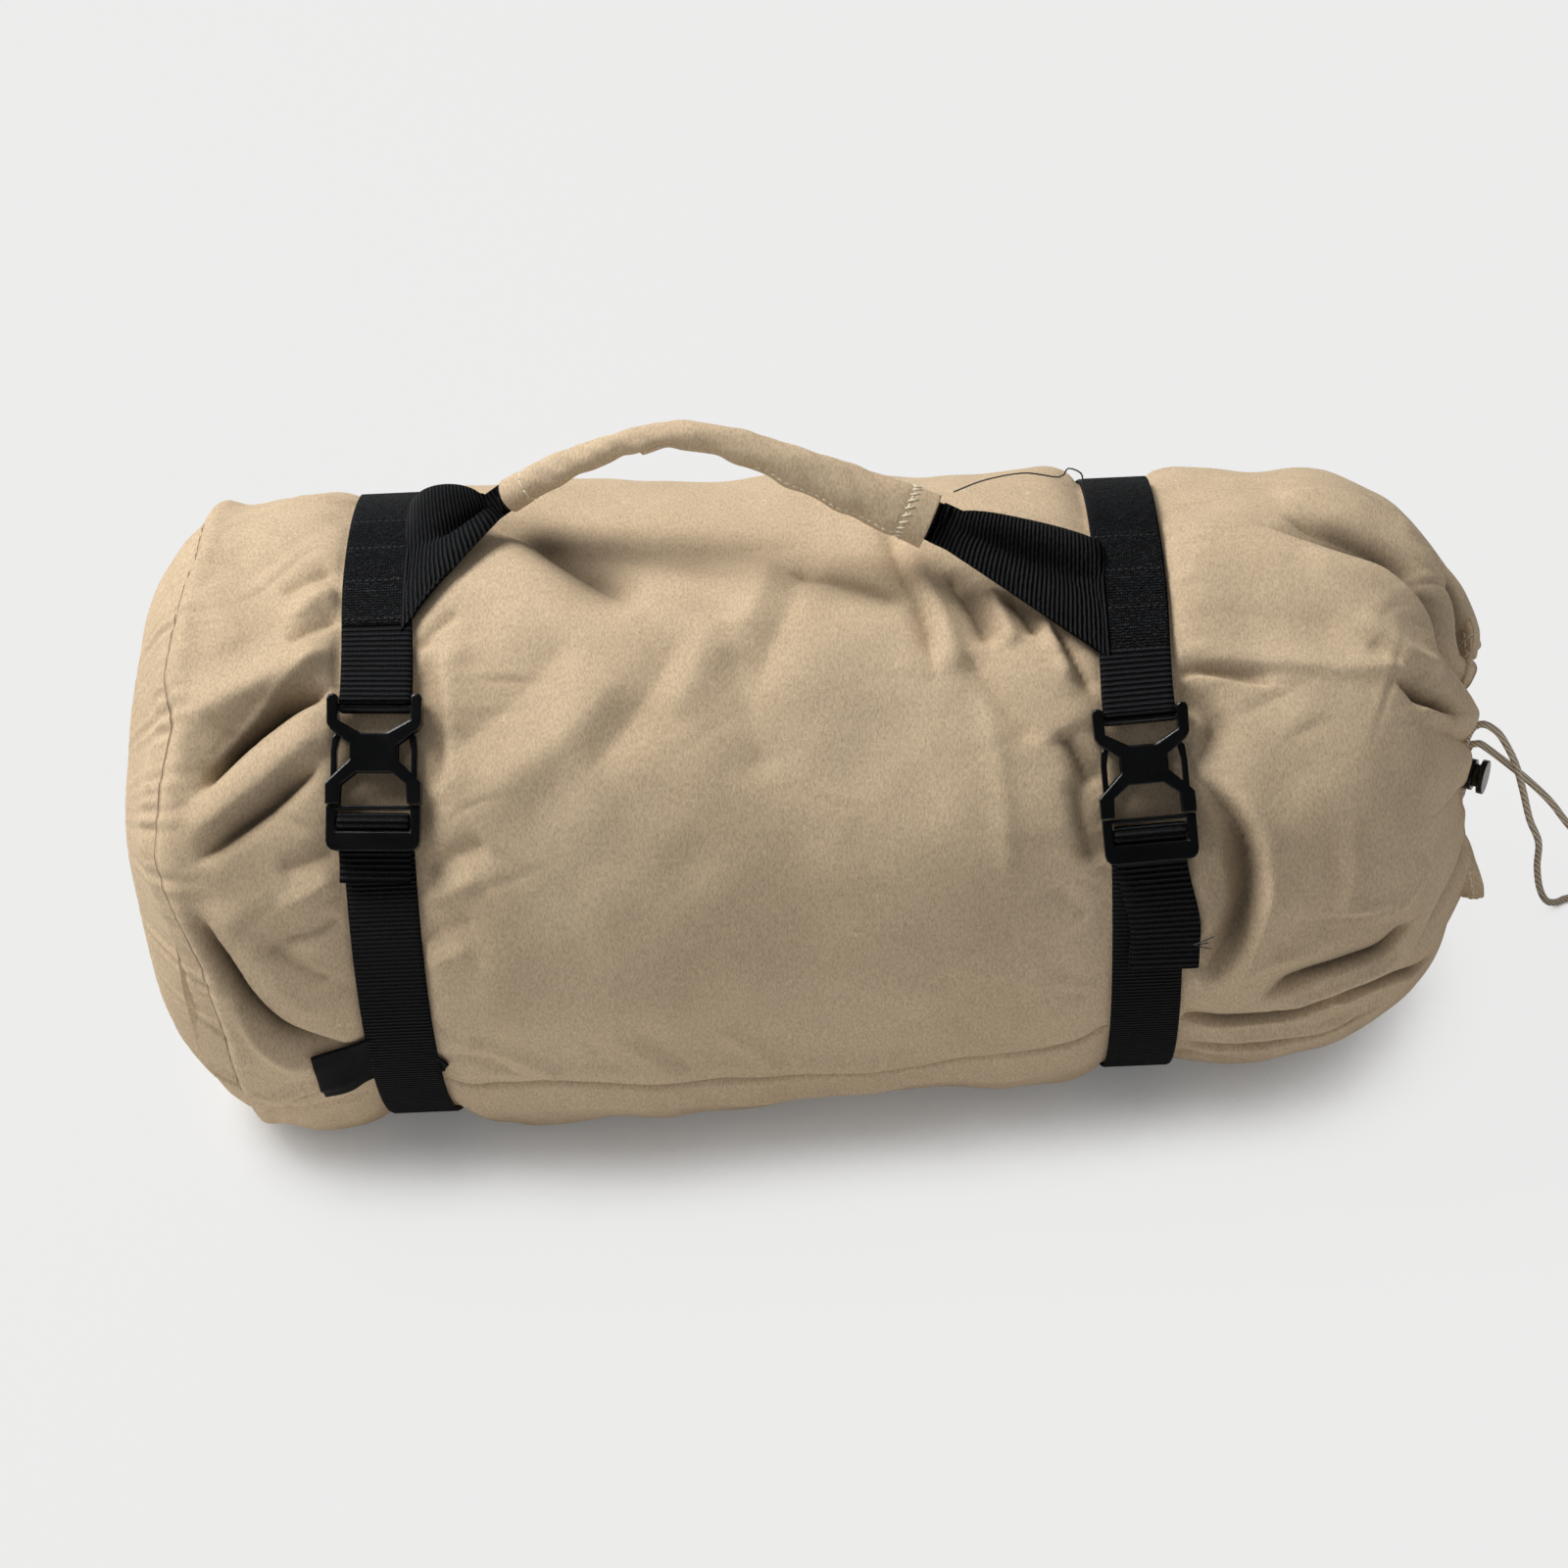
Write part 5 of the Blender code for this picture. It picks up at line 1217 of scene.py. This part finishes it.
def flare_frame(side, edge):
    """A flare's end at the handle, its way there, and its width there as a unit vector."""
    end = np.array(HANDLE_ROUTE[0 if side == "left" else -1])
    y, z = around(sum(ANCHOR_ANGLES[side]) / 2, seat_radius(side) + ANCHOR_THICK)
    middle = np.array([edge, float(y), float(z)])
    towards = (end - middle) / np.linalg.norm(end - middle)
    turned = math.radians(SLEEVE_TURN)
    across = np.array([0, -math.cos(turned), math.sin(turned)])
    across = across - across.dot(towards) * towards
    return end, towards, across / np.linalg.norm(across)


def flare_fold(side, across_share, part):
    """How far a flare's folds stand out at a share across it and along it."""
    height = 0
    for place, wide, deep, peak in FLARE_FOLDS[side]:
        over = math.exp(-(((across_share - place) / wide) ** 2))
        rise = abs(math.sin(math.pi * part ** (math.log(0.5) / math.log(peak)))) ** 0.8
        height += deep / 1000 * over * rise
    return height


def flare_points(side, edge, end, towards, across):
    """A flare's grid, from its row of stitches to its end inside the sleeve."""
    low, high = ANCHOR_ANGLES[side]
    tip = end - towards * FLARE_TIP
    rows, columns = FLARE_GRID
    points = np.zeros((rows, columns, 3))
    for j, i in np.ndindex(rows, columns):
        share, across_share = j / (rows - 1), i / (columns - 1)
        y, z = around(low + (high - low) * across_share, seat_radius(side) + ANCHOR_THICK)
        root = np.array([edge, float(y), float(z)])
        narrow = tip + across * ANCHOR_TIP[side] * (across_share - 0.5)
        part = min(share / FLARE_ENTRY, 1)
        ease = part * part * (3 - 2 * part) * 0.35 + part * 0.65
        entry = max(share - FLARE_ENTRY, 0) / (1 - FLARE_ENTRY)
        point = root + (narrow - root) * ease + towards * FLARE_ENTRY_LENGTH * entry
        away = np.array([point[1], point[2] - AXIS_HEIGHT])
        size = np.hypot(*away)
        if share < FLARE_ENTRY:
            least = waist_radius(point[0]) + FLARE_CLEAR
            away *= max(size + flare_fold(side, across_share, part), least) / size
        points[j, i] = (point[0], away[0], AXIS_HEIGHT + away[1])
    return points


def build_flares(look):
    """The handle webbing's two ends, spread flat where the strap's stitching holds them."""
    for side, inward in (("left", 1), ("right", -1)):
        edge = STRAP_X[side] + inward * (STRAP_HALF - ANCHOR_LAP)
        end, towards, across = flare_frame(side, edge)
        points = flare_points(side, edge, end, towards, across)
        uv = weave_uv(run_along(points[0]), run_along(points[:, points.shape[1] // 2]))
        piece = grid_piece(f"flare_{side}", points, look, uv=uv, thickness=ANCHOR_THICK * inward)
        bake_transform(piece)
        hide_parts(f"handle_anchor_{side}")


# The sleeve's two half widths in mm, from its left end to its right end
SLEEVE_WIDE = [5.4, 4.8, 3.9, 3.3, 3.8, 5.0, 6.4, 7.8, 8.6]
SLEEVE_THIN = [4.6, 4.3, 3.6, 3.1, 3.3, 3.7, 4.0, 4.2, 4.4]
SLEEVE_TURN = 130.0
SLEEVE_SIDES = 64
SLEEVE_STEP = 0.0009
SLEEVE_RUFFLE = 0.00045
SLEEVE_CLOTH = 0.0009
# How far from either end the stitches go round, the seam's place round the sleeve, and
# the share of the sleeve's length where its visible stitches start
CUFF = 0.0095
SLEEVE_SEAM = 0.555
SEAM_START = 0.62


def handle_frame(route):
    """The handle's line, its run, its two half widths as vectors, from a route."""
    line = smooth_line(route, SLEEVE_STEP)
    along = unit(np.gradient(line, axis=0))
    side_way = unit(np.cross(along, np.array([0, 0, 1.0])))
    up = np.cross(side_way, along)
    run = run_along(line)
    turned = math.radians(SLEEVE_TURN)
    first = side_way * math.cos(turned) + up * math.sin(turned)
    second = -side_way * math.sin(turned) + up * math.cos(turned)
    places = np.linspace(0, run[-1], len(SLEEVE_WIDE))
    wide = np.interp(run, places, SLEEVE_WIDE) / 1000
    thin = np.interp(run, places, SLEEVE_THIN) / 1000
    return line, run, first, second, wide, thin


def sleeve_points():
    """The sleeve's surface, ruffled along its seam, and the run of its rows."""
    line, run, first, second, wide, thin = handle_frame(HANDLE_ROUTE[1:-1])
    points = np.zeros((len(line), SLEEVE_SIDES, 3))
    near_end = np.minimum(run, run[-1] - run)
    calm = 0.1 + 0.9 * smoothstep(0.004, 0.020, near_end)
    cuff = 0.0005 * np.exp(-(((near_end - CUFF) / 0.0012) ** 2))
    for k, t in enumerate(np.linspace(0, 2 * np.pi, SLEEVE_SIDES, endpoint=False)):
        wave = 0.45 * np.sin(run * 330 + 2.2 * np.sin(t + 0.6)) * np.sin(t + 0.9)
        wave += 0.40 * np.sin(run * 190 - 3 * t + 1) + 0.25 * np.sin(run * 610 + 4 * t)
        scallop = 0.9 * np.maximum(0, np.cos(t - math.pi)) ** 3 * np.sin(run * 330 + 0.5)
        lift = (wave + scallop) * SLEEVE_RUFFLE * calm - cuff
        lift += 0.0012 * np.exp(-(((t - math.pi) / 0.13) ** 2)) * (run > 0.35 * run[-1])
        points[:, k] = line + first * ((wide + lift) * np.cos(t))[:, None]
        points[:, k] += second * ((thin + lift) * np.sin(t))[:, None]
    return points, run


# The core webbing's section: shares of its half width and of its half thickness
CORE_SECTION = [
    (-1, 0.5), (-0.85, 1), (0, 1), (0.85, 1), (1, 0.5),
    (1, -0.5), (0.85, -1), (0, -1), (-0.85, -1), (-1, -0.5),
]
CORE_WIDTH = 0.84
CORE_THICK = 0.0017


def build_core(look):
    """The webbing inside the sleeve; its ends show between the cuffs and the flares."""
    line, run, first, second, wide, _ = handle_frame(HANDLE_ROUTE)
    ring = [
        line + first * (wide * CORE_WIDTH * across)[:, None] + second * CORE_THICK * height
        for across, height in CORE_SECTION
    ]
    uv = weave_uv(np.linspace(0, 0.03, len(ring) + 1), run)
    piece = grid_piece("core_webbing", np.stack(ring, axis=1), look, closed_u=True, uv=uv)
    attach(piece, "handle")
    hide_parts("handle_webbing")


def build_sleeve(look):
    """The canvas sleeve sewn round the webbing, with its stitches."""
    points, run = sleeve_points()
    uv = weave_uv(np.linspace(0, 0.036, SLEEVE_SIDES + 1), run)
    piece = grid_piece("sleeve_cloth", points, look, closed_u=True, uv=uv, thickness=SLEEVE_CLOTH)
    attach(piece, "handle")
    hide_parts("handle_sleeve")

    out = points - points.mean(axis=1, keepdims=True)
    out /= np.linalg.norm(out, axis=2)[..., None]
    raised = points + out * (SLEEVE_CLOTH + 0.0002)
    ring = [*range(SLEEVE_SIDES), 0]
    left_row = int(np.searchsorted(run, CUFF))
    right_row = len(run) - 1 - left_row
    threads = stitches(raised[left_row, ring], 0.0034, 0.0005, (0, 0.0002, -0.0003))
    threads += stitches(raised[right_row, ring], 0.0026, 0.0008, (0, 0.0002, -0.0003))
    for k in range(0, SLEEVE_SIDES, 3):
        start = raised[right_row - 1, k]
        end = raised[right_row + 2, (k + 2) % SLEEVE_SIDES]
        threads.append([start, (start + end) / 2, end])
    seam = raised[int(len(run) * SEAM_START) : right_row, int(SLEEVE_SIDES * SLEEVE_SEAM)]
    threads += stitches(seam, 0.0013, 0.0016, (0, 0.0002, -0.0002))
    thread_piece("sleeve_stitches", threads, 0.00036, PALE_THREAD, "handle")


WHITE = (1, 1, 1, 1)


def new_material(name):
    """A new material, its nodes, its shader, and the object coordinates for its patterns."""
    made = bpy.data.materials.new(name)
    made.use_nodes = True
    tree = made.node_tree
    place = tree.nodes.new("ShaderNodeTexCoord").outputs["Object"]
    return made, tree, tree.nodes["Principled BSDF"], place


def node(tree, kind, **values):
    """A new node, with its sockets or settings of these names set."""
    made = tree.nodes.new(kind)
    for key, value in values.items():
        if key in made.inputs:
            made.inputs[key].default_value = value
        else:
            setattr(made, key, value)
    return made


def set_shader(shader, roughness, specular=None, **others):
    """Sets a shader's sockets; an underscore in a name stands for a space."""
    if specular is not None:
        shader.inputs["Specular IOR Level"].default_value = specular
    for key, value in {"Roughness": roughness, **others}.items():
        shader.inputs[key.replace("_", " ")].default_value = value


def linear(red, green, blue):
    """Linear colour of an 8-bit screen colour."""
    out = []
    for value in (red, green, blue):
        value /= 255
        out.append(value / 12.92 if value <= 0.04045 else ((value + 0.055) / 1.055) ** 2.4)
    return (*out, 1)


def grey(level):
    return (level, level, level, 1)


def noise(tree, scale, detail, source, stretch=(1, 1, 1), roughness=0.55):
    """A noise pattern's height."""
    mapping = node(tree, "ShaderNodeMapping")
    mapping.inputs["Scale"].default_value = stretch
    tree.links.new(source, mapping.inputs["Vector"])
    made = node(tree, "ShaderNodeTexNoise", Scale=scale, Detail=detail, Roughness=roughness)
    tree.links.new(mapping.outputs[0], made.inputs["Vector"])
    return made.outputs["Fac"]


def wave(tree, source, way, scale, distortion, **others):
    """A pattern of bands, its height."""
    made = node(tree, "ShaderNodeTexWave", Scale=scale, Distortion=distortion, **others)
    made.bands_direction = way
    tree.links.new(source, made.inputs["Vector"])
    return made.outputs["Fac"]


def ramp(tree, source, stops):
    """A colour for each level of a pattern, from stops of a level and its colour."""
    made = node(tree, "ShaderNodeValToRGB")
    elements = made.color_ramp.elements
    while len(elements) < len(stops):
        elements.new(0.5)
    for element, (place, colour) in zip(elements, stops):
        element.position = place
        element.color = colour
    tree.links.new(source, made.inputs["Fac"])
    return made.outputs["Color"]


def mixed(tree, kind, factor, first, second):
    """Two colours mixed; each value is a socket or a plain one."""
    made = node(tree, "ShaderNodeMix", data_type="RGBA", blend_type=kind)
    for socket, value in ((made.inputs[0], factor), (made.inputs[6], first), (made.inputs[7], second)):
        if hasattr(value, "is_linked"):
            tree.links.new(value, socket)
        else:
            socket.default_value = value
    return made.outputs[2]


def dimmed(tree, base, share, source, low, high, dark):
    """A colour dimmed by dark where a pattern is below low, and as it is from high on."""
    return mixed(tree, "MULTIPLY", share, base, ramp(tree, source, [(low, dark), (high, WHITE)]))


def coloured(tree, shader, base):
    tree.links.new(base, shader.inputs["Base Color"])


def bumped(tree, shader, layers):
    """Stacks (height socket, strength, distance) bumps onto a shader's normal."""
    previous = None
    for height, strength, distance in layers:
        made = node(tree, "ShaderNodeBump", Strength=strength, Distance=distance)
        tree.links.new(height, made.inputs["Height"])
        if previous is not None:
            tree.links.new(previous, made.inputs["Normal"])
        previous = made.outputs["Normal"]
    tree.links.new(previous, shader.inputs["Normal"])


def seam_shade(tree, base, place):
    """Dims the canvas by the painted shade of its folds and behind its buckles, and, in patches, by painted
    shade along the closed end's seam.
    """
    unshaded = node(tree, "ShaderNodeAttribute", attribute_name="unshaded").outputs["Fac"]
    # Painted shade of the deep folds and behind the buckles
    base = dimmed(tree, base, 1.0, unshaded, 0.0, 1.0, (0.05, 0.04, 0.03, 1))
    split = node(tree, "ShaderNodeSeparateXYZ")
    tree.links.new(node(tree, "ShaderNodeUVMap", uv_map="weave").outputs[0], split.inputs[0])
    # Painted shade in a narrow band along the closed end's seam, in noise patches
    away = node(tree, "ShaderNodeMapRange")
    away.inputs["From Min"].default_value = SEAM_X + 0.0002
    away.inputs["From Max"].default_value = SEAM_X + 0.0022
    tree.links.new(split.outputs[0], away.inputs["Value"])
    shade = ramp(tree, away.outputs[0], [(0.0, (0.34, 0.31, 0.28, 1)), (1.0, WHITE)])
    patches = ramp(tree, noise(tree, 45, 2, place), [(0.38, grey(0.25)), (0.6, WHITE)])
    return mixed(tree, "MULTIPLY", patches, base, shade)


def canvas_material(name="canvas_twill", seam=False):
    """Sand-coloured cotton twill: blotched, fuzzy and flecked with pale lint."""
    made, tree, shader, place = new_material(name)
    broad = noise(tree, 16, 3, place)
    blotch = noise(tree, 90, 4, place)
    fuzz = noise(tree, 900, 5, place, (1.6, 0.7, 0.7), 0.7)
    lint = noise(tree, 330, 2, place, (1, 0.5, 0.5))
    base = ramp(tree, broad, [(0.25, linear(217, 193, 161)), (0.75, linear(227, 204, 173))])
    base = dimmed(tree, base, 0.5, blotch, 0.3, 0.7, (0.90, 0.89, 0.88, 1))
    base = dimmed(tree, base, 0.85, fuzz, 0.30, 0.60, (0.60, 0.58, 0.55, 1))
    specks = ramp(tree, lint, [(0.715, grey(0)), (0.745, WHITE)])
    base = mixed(tree, "MIX", specks, base, linear(222, 200, 168))
    # The bag's canvas also gets painted shade in its deep folds, behind the buckles and along the seam
    if seam:
        base = seam_shade(tree, base, place)
    coloured(tree, shader, base)
    set_shader(shader, 0.95, 0.18, Sheen_Weight=0.06, Sheen_Roughness=0.6, Sheen_Tint=linear(225, 200, 165))
    twill = wave(tree, place, "DIAGONAL", 420, 1.4, Detail=1.0)
    bumped(tree, shader, [(fuzz, 0.5, 0.0007), (twill, 0.12, 0.0003), (blotch, 0.3, 0.0012)])
    return made


# A wave pattern's scale for a period of 1 m, and the pitch of the webbing's fine cross rows
WAVE_PERIOD = math.pi / 10
CROSS_PITCH = 0.0009


def webbing_material(name, pitch, distortion=0.6):
    """Black nylon webbing: ribs across the strap, from its UV in metres, their crests painted paler as a
    painted highlight.
    """
    made, tree, shader, place = new_material(name)
    coords = node(tree, "ShaderNodeUVMap", uv_map="weave").outputs[0]
    detail = {"Detail": 1.0, "Detail Scale": 3.0}
    ribs = wave(tree, coords, "Y", WAVE_PERIOD / pitch, distortion, **detail)
    cross = wave(tree, coords, "X", WAVE_PERIOD / CROSS_PITCH, 1.2)
    grain = noise(tree, 1400, 3, place)
    # The ribs' crests are painted paler than their troughs: a painted highlight
    base = ramp(tree, ribs, [(0.50, linear(1, 1, 2)), (0.95, linear(44, 46, 49))])
    base = dimmed(tree, base, 0.7, cross, 0.2, 0.8, grey(0.12))
    coloured(tree, shader, base)
    set_shader(shader, 0.6, 0.08)
    bumped(tree, shader, [(ribs, 0.9, 0.0009), (cross, 0.35, 0.0003), (grain, 0.2, 0.0002)])
    return made


def plastic_material(name, roughness):
    """Black moulded plastic, with its edges shaded round."""
    made, tree, shader, place = new_material(name)
    grain = noise(tree, 1800, 2, place)
    smear = noise(tree, 60, 3, place)
    coloured(tree, shader, ramp(tree, smear, [(0.3, linear(4, 5, 6)), (0.7, linear(8, 9, 11))]))
    rough = node(tree, "ShaderNodeMapRange")
    rough.inputs["To Min"].default_value = roughness - 0.06
    rough.inputs["To Max"].default_value = roughness + 0.10
    tree.links.new(smear, rough.inputs["Value"])
    tree.links.new(rough.outputs[0], shader.inputs["Roughness"])
    set_shader(shader, roughness, 0.5, Coat_Weight=0.10, Coat_Roughness=0.12)
    bumped(tree, shader, [(grain, 0.04, 0.0001)])
    rounded = node(tree, "ShaderNodeBevel", Radius=0.0011, samples=6)
    bump = shader.inputs["Normal"].links[0].from_node
    tree.links.new(rounded.outputs[0], bump.inputs["Normal"])
    return made


def cord_material(name="cord_braid"):
    """Braided cord in two pale browns."""
    made, tree, shader, place = new_material(name)
    braid = wave(tree, place, "DIAGONAL", 300, 0.4)
    grain = noise(tree, 1500, 3, place)
    base = ramp(tree, braid, [(0.1, linear(170, 150, 124)), (0.8, linear(238, 222, 198))])
    coloured(tree, shader, dimmed(tree, base, 0.3, grain, 0.3, 0.7, (0.6, 0.58, 0.55, 1)))
    set_shader(shader, 0.7, Sheen_Weight=0.15)
    bumped(tree, shader, [(braid, 0.6, 0.0004), (grain, 0.2, 0.0002)])
    return made


def grained_material(name, scale, dark, pale, detail=2, stretch=(1, 1, 1)):
    """A material of two close colours, mixed by a fine grain."""
    made, tree, shader, place = new_material(name)
    grain = noise(tree, scale, detail, place, stretch)
    coloured(tree, shader, ramp(tree, grain, [(0.3, dark), (0.7, pale)]))
    return made, tree, shader, grain


def label_material():
    """Black satin."""
    dark, pale = linear(3, 4, 5), linear(14, 15, 17)
    stretch = (0.3, 1.4, 1.4)
    made, tree, shader, grain = grained_material("label_satin", 1200, dark, pale, 3, stretch)
    set_shader(shader, 0.65, 0.12)
    bumped(tree, shader, [(grain, 0.4, 0.0003)])
    return made


def steel_material():
    """Bright spring wire."""
    dark, pale = linear(150, 152, 155), linear(190, 192, 195)
    made, _, shader, _ = grained_material("spring_wire", 700, dark, pale)
    set_shader(shader, 0.3, Metallic=1)
    return made


def stitch_material(name, colour):
    """Sewing thread."""
    dark = tuple(c * 0.75 for c in colour[:3]) + (1,)
    made, _, shader, _ = grained_material(name, 2500, dark, colour)
    set_shader(shader, 0.7, Sheen_Weight=0.2)
    return made


CANVAS = canvas_material()
BAG_CANVAS = canvas_material("bag_canvas", seam=True)
STRAP = webbing_material("strap_webbing", 0.0022)
BAND = webbing_material("band_webbing", 0.0017)
OVERLAY = webbing_material("overlay_webbing", 0.0012, 5.0)
FLARE = webbing_material("flare_webbing", 0.0017, 1.2)
PLASTIC = plastic_material("buckle_black", 0.24)
CORD = cord_material()
LABEL = label_material()
STEEL = steel_material()
TARP = canvas_material("tarp_canvas")
GUYLINE = cord_material("guyline_braid")
PALE_THREAD = stitch_material("pale_thread", linear(252, 240, 212))
BLACK_THREAD = stitch_material("black_thread", linear(24, 24, 26))


# The camera, fitted to the photograph: its sensor and lens in mm, its place and its ways
SENSOR = 36
LENS = 83.25
NEAR_AND_FAR = (0.01, 50)
CAMERA_PLACE = (0.013191, -1.061473, 1.000174)
CAMERA_RIGHT = (0.998899, -0.014178, -0.044699)
CAMERA_UP = (0.043346, 0.642881, 0.764739)
CAMERA_BACK = (0.017893, -0.765835, 0.642788)


def build_camera():
    """The photograph's own view."""
    data = bpy.data.cameras.new("photo_camera")
    data.sensor_width = SENSOR
    data.lens = LENS
    data.clip_start, data.clip_end = NEAR_AND_FAR
    camera = add_object("photo_camera", data)
    turn = Matrix((CAMERA_RIGHT, CAMERA_UP, CAMERA_BACK)).transposed().to_4x4()
    camera.matrix_world = Matrix.Translation(CAMERA_PLACE) @ turn
    bpy.context.scene.camera = camera


def build_cords():
    """The drawcord's two ends, as tubes along their routes."""
    for name, route in (("a", STRAND_A), ("b", STRAND_B)):
        line = smooth_line(route, 0.0024)
        data = bpy.data.curves.new(f"drawcord_{name}", "CURVE")
        data.dimensions = "3D"
        data.bevel_depth = CORD_DIAMETER / 2
        data.bevel_resolution = 6
        data.use_fill_caps = True
        spline = data.splines.new("POLY")
        spline.points.add(len(line) - 1)
        for point, place in zip(spline.points, line):
            point.co = (*place, 1)
        data.materials.append(CORD)
        piece = add_object(f"drawcord_{name}", data)
        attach(piece, "bag")
        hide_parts(f"drawcord_strand_{name}")


def build_spring():
    """Gives the cord lock's spring a mesh of its own."""
    spring = NODES["cord_lock_spring"]
    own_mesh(spring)


# The lamp: where it stands, its width, its power and colour; the sky's level and colour
KEY_PLACE = (-1.25, 0.42, 2.35)
KEY_WIDTH = 1.30
KEY_POWER = 63.0
KEY_COLOUR = (1, 0.985, 0.96)
SKY = 0.30
SKY_COLOUR = (0.95, 0.97, 1.0, 1)
# The floor's half width, its drop and its colour; how near the object dims its glow, and
# its glow by how open it lies there
FLOOR_SIZE = 6.0
FLOOR_DROP = 0.0002
FLOOR_PAPER = (0.84, 0.84, 0.835, 1)
FLOOR_REACH = 0.050
FLOOR_GLOW = [(0.33, grey(0.15)), (0.54, grey(0.84)), (0.78, grey(0.97))]
# What gloss sees: a plain dim room with one soft box, its way and its edges as cosines
ROOM = 0.04
SOFT_BOX = 7.0
SOFT_BOX_WAY = (-0.62, 0.30, 0.74)
SOFT_BOX_EDGE = (0.86, 0.92)


def build_floor():
    """A pale floor that keeps the object's shadow, and glows to the camera alone."""
    mesh = bpy.data.meshes.new("floor")
    corners = [(x * FLOOR_SIZE, y * FLOOR_SIZE, 0) for x, y in ((-1, -1), (1, -1), (1, 1), (-1, 1))]
    mesh.from_pydata(corners, [], [(0, 1, 2, 3)])
    made, tree, shader, _ = new_material("floor_paper")
    set_shader(shader, 0.9, Base_Color=FLOOR_PAPER)
    seen = node(tree, "ShaderNodeLightPath").outputs["Is Camera Ray"]
    open_sky = node(tree, "ShaderNodeAmbientOcclusion", samples=8, Distance=FLOOR_REACH)
    glow = ramp(tree, open_sky.outputs["AO"], FLOOR_GLOW)
    share = node(tree, "ShaderNodeMath", operation="MULTIPLY")
    tree.links.new(seen, share.inputs[0])
    tree.links.new(glow, share.inputs[1])
    paper = node(tree, "ShaderNodeEmission", Color=FLOOR_PAPER, Strength=1.0)
    both = node(tree, "ShaderNodeMixShader")
    for source, socket in zip((share, shader, paper), both.inputs):
        tree.links.new(source.outputs[0], socket)
    tree.links.new(both.outputs[0], tree.nodes["Material Output"].inputs["Surface"])
    mesh.materials.append(made)
    floor = add_object("floor", mesh)
    floor.location.z = -FLOOR_DROP


def build_world():
    """A plain pale sky; gloss sees a dim room with one soft box instead."""
    world = bpy.data.worlds.new("studio")
    bpy.context.scene.world = world
    world.use_nodes = True
    sky = world.node_tree
    background = sky.nodes["Background"]
    background.inputs["Color"].default_value = SKY_COLOUR
    facing = node(sky, "ShaderNodeVectorMath", operation="DOT_PRODUCT")
    sky.links.new(node(sky, "ShaderNodeTexCoord").outputs["Generated"], facing.inputs[0])
    facing.inputs[1].default_value = Vector(SOFT_BOX_WAY).normalized()
    box = node(sky, "ShaderNodeMapRange")
    for key, value in zip(("From Min", "From Max", "To Min", "To Max"), (*SOFT_BOX_EDGE, ROOM, SOFT_BOX)):
        box.inputs[key].default_value = value
    sky.links.new(facing.outputs["Value"], box.inputs["Value"])
    level = node(sky, "ShaderNodeMix", data_type="FLOAT")
    level.inputs[2].default_value = SKY
    sky.links.new(node(sky, "ShaderNodeLightPath").outputs["Is Glossy Ray"], level.inputs[0])
    sky.links.new(box.outputs[0], level.inputs[3])
    sky.links.new(level.outputs[0], background.inputs["Strength"])


def build_lamp():
    """One wide soft lamp, above and to the left."""
    data = bpy.data.lights.new("key", "AREA")
    data.shape = "DISK"
    data.size = KEY_WIDTH
    data.energy = KEY_POWER
    data.color = KEY_COLOUR
    lamp = add_object("key", data)
    lamp.location = KEY_PLACE
    lamp.rotation_euler = (-Vector(KEY_PLACE)).to_track_quat("-Z", "Y").to_euler()


# The material of each CAD node that stays, by how its name starts; the rest is canvas
NODE_LOOKS = [
    (("buckle_", "cord_lock_barrel", "cord_lock_plunger", "guyline_runner"), PLASTIC),
    (("cord_lock_spring",), STEEL),
    (("guyline_hank",), GUYLINE),
    (("drawcord",), CORD),
    (("tarp_roll",), TARP),
    (("strap_", "tarp_corner", "handle_anchor", "handle_webbing"), STRAP),
    (("bag_label",), LABEL),
    (("",), CANVAS),
]
# The width to which moulded edges are rounded, by how the node's name starts
EDGE_WIDTHS = {"buckle_": 0.0008, "cord_lock_barrel": 0.0004, "cord_lock_plunger": 0.0004}
EDGE_STEPS = 3
EDGE_ANGLE = 40


def dress_nodes():
    """Gives every CAD node that stays its material, and rounds the plastic's edges."""
    for name, obj in NODES.items():
        look = next(look for starts, look in NODE_LOOKS if name.startswith(starts))
        if obj.material_slots:
            for slot in obj.material_slots:
                slot.material = look
        else:
            obj.data.materials.append(look)
        for start, width in EDGE_WIDTHS.items():
            if name.startswith(start):
                edge = obj.modifiers.new("edge", "BEVEL")
                edge.width = width
                edge.segments = EDGE_STEPS
                edge.limit_method = "ANGLE"
                edge.angle_limit = math.radians(EDGE_ANGLE)
                edge.harden_normals = False


bpy.context.scene.view_settings.view_transform = "Standard"
build_camera()
build_cords()
build_spring()
build_floor()
build_world()
build_lamp()
dress_nodes()
CLOTH_POINTS = build_bag_cloth(BAG_CANVAS)
build_end_panel(CANVAS, CLOTH_POINTS[0])
build_label(LABEL)
build_mouth_hem(CANVAS)
build_knot(CORD)
build_straps(STRAP, BAND)
build_overlays(OVERLAY)
build_flares(FLARE)
build_sleeve(CANVAS)
build_core(FLARE)
build_loose_threads(BLACK_THREAD)
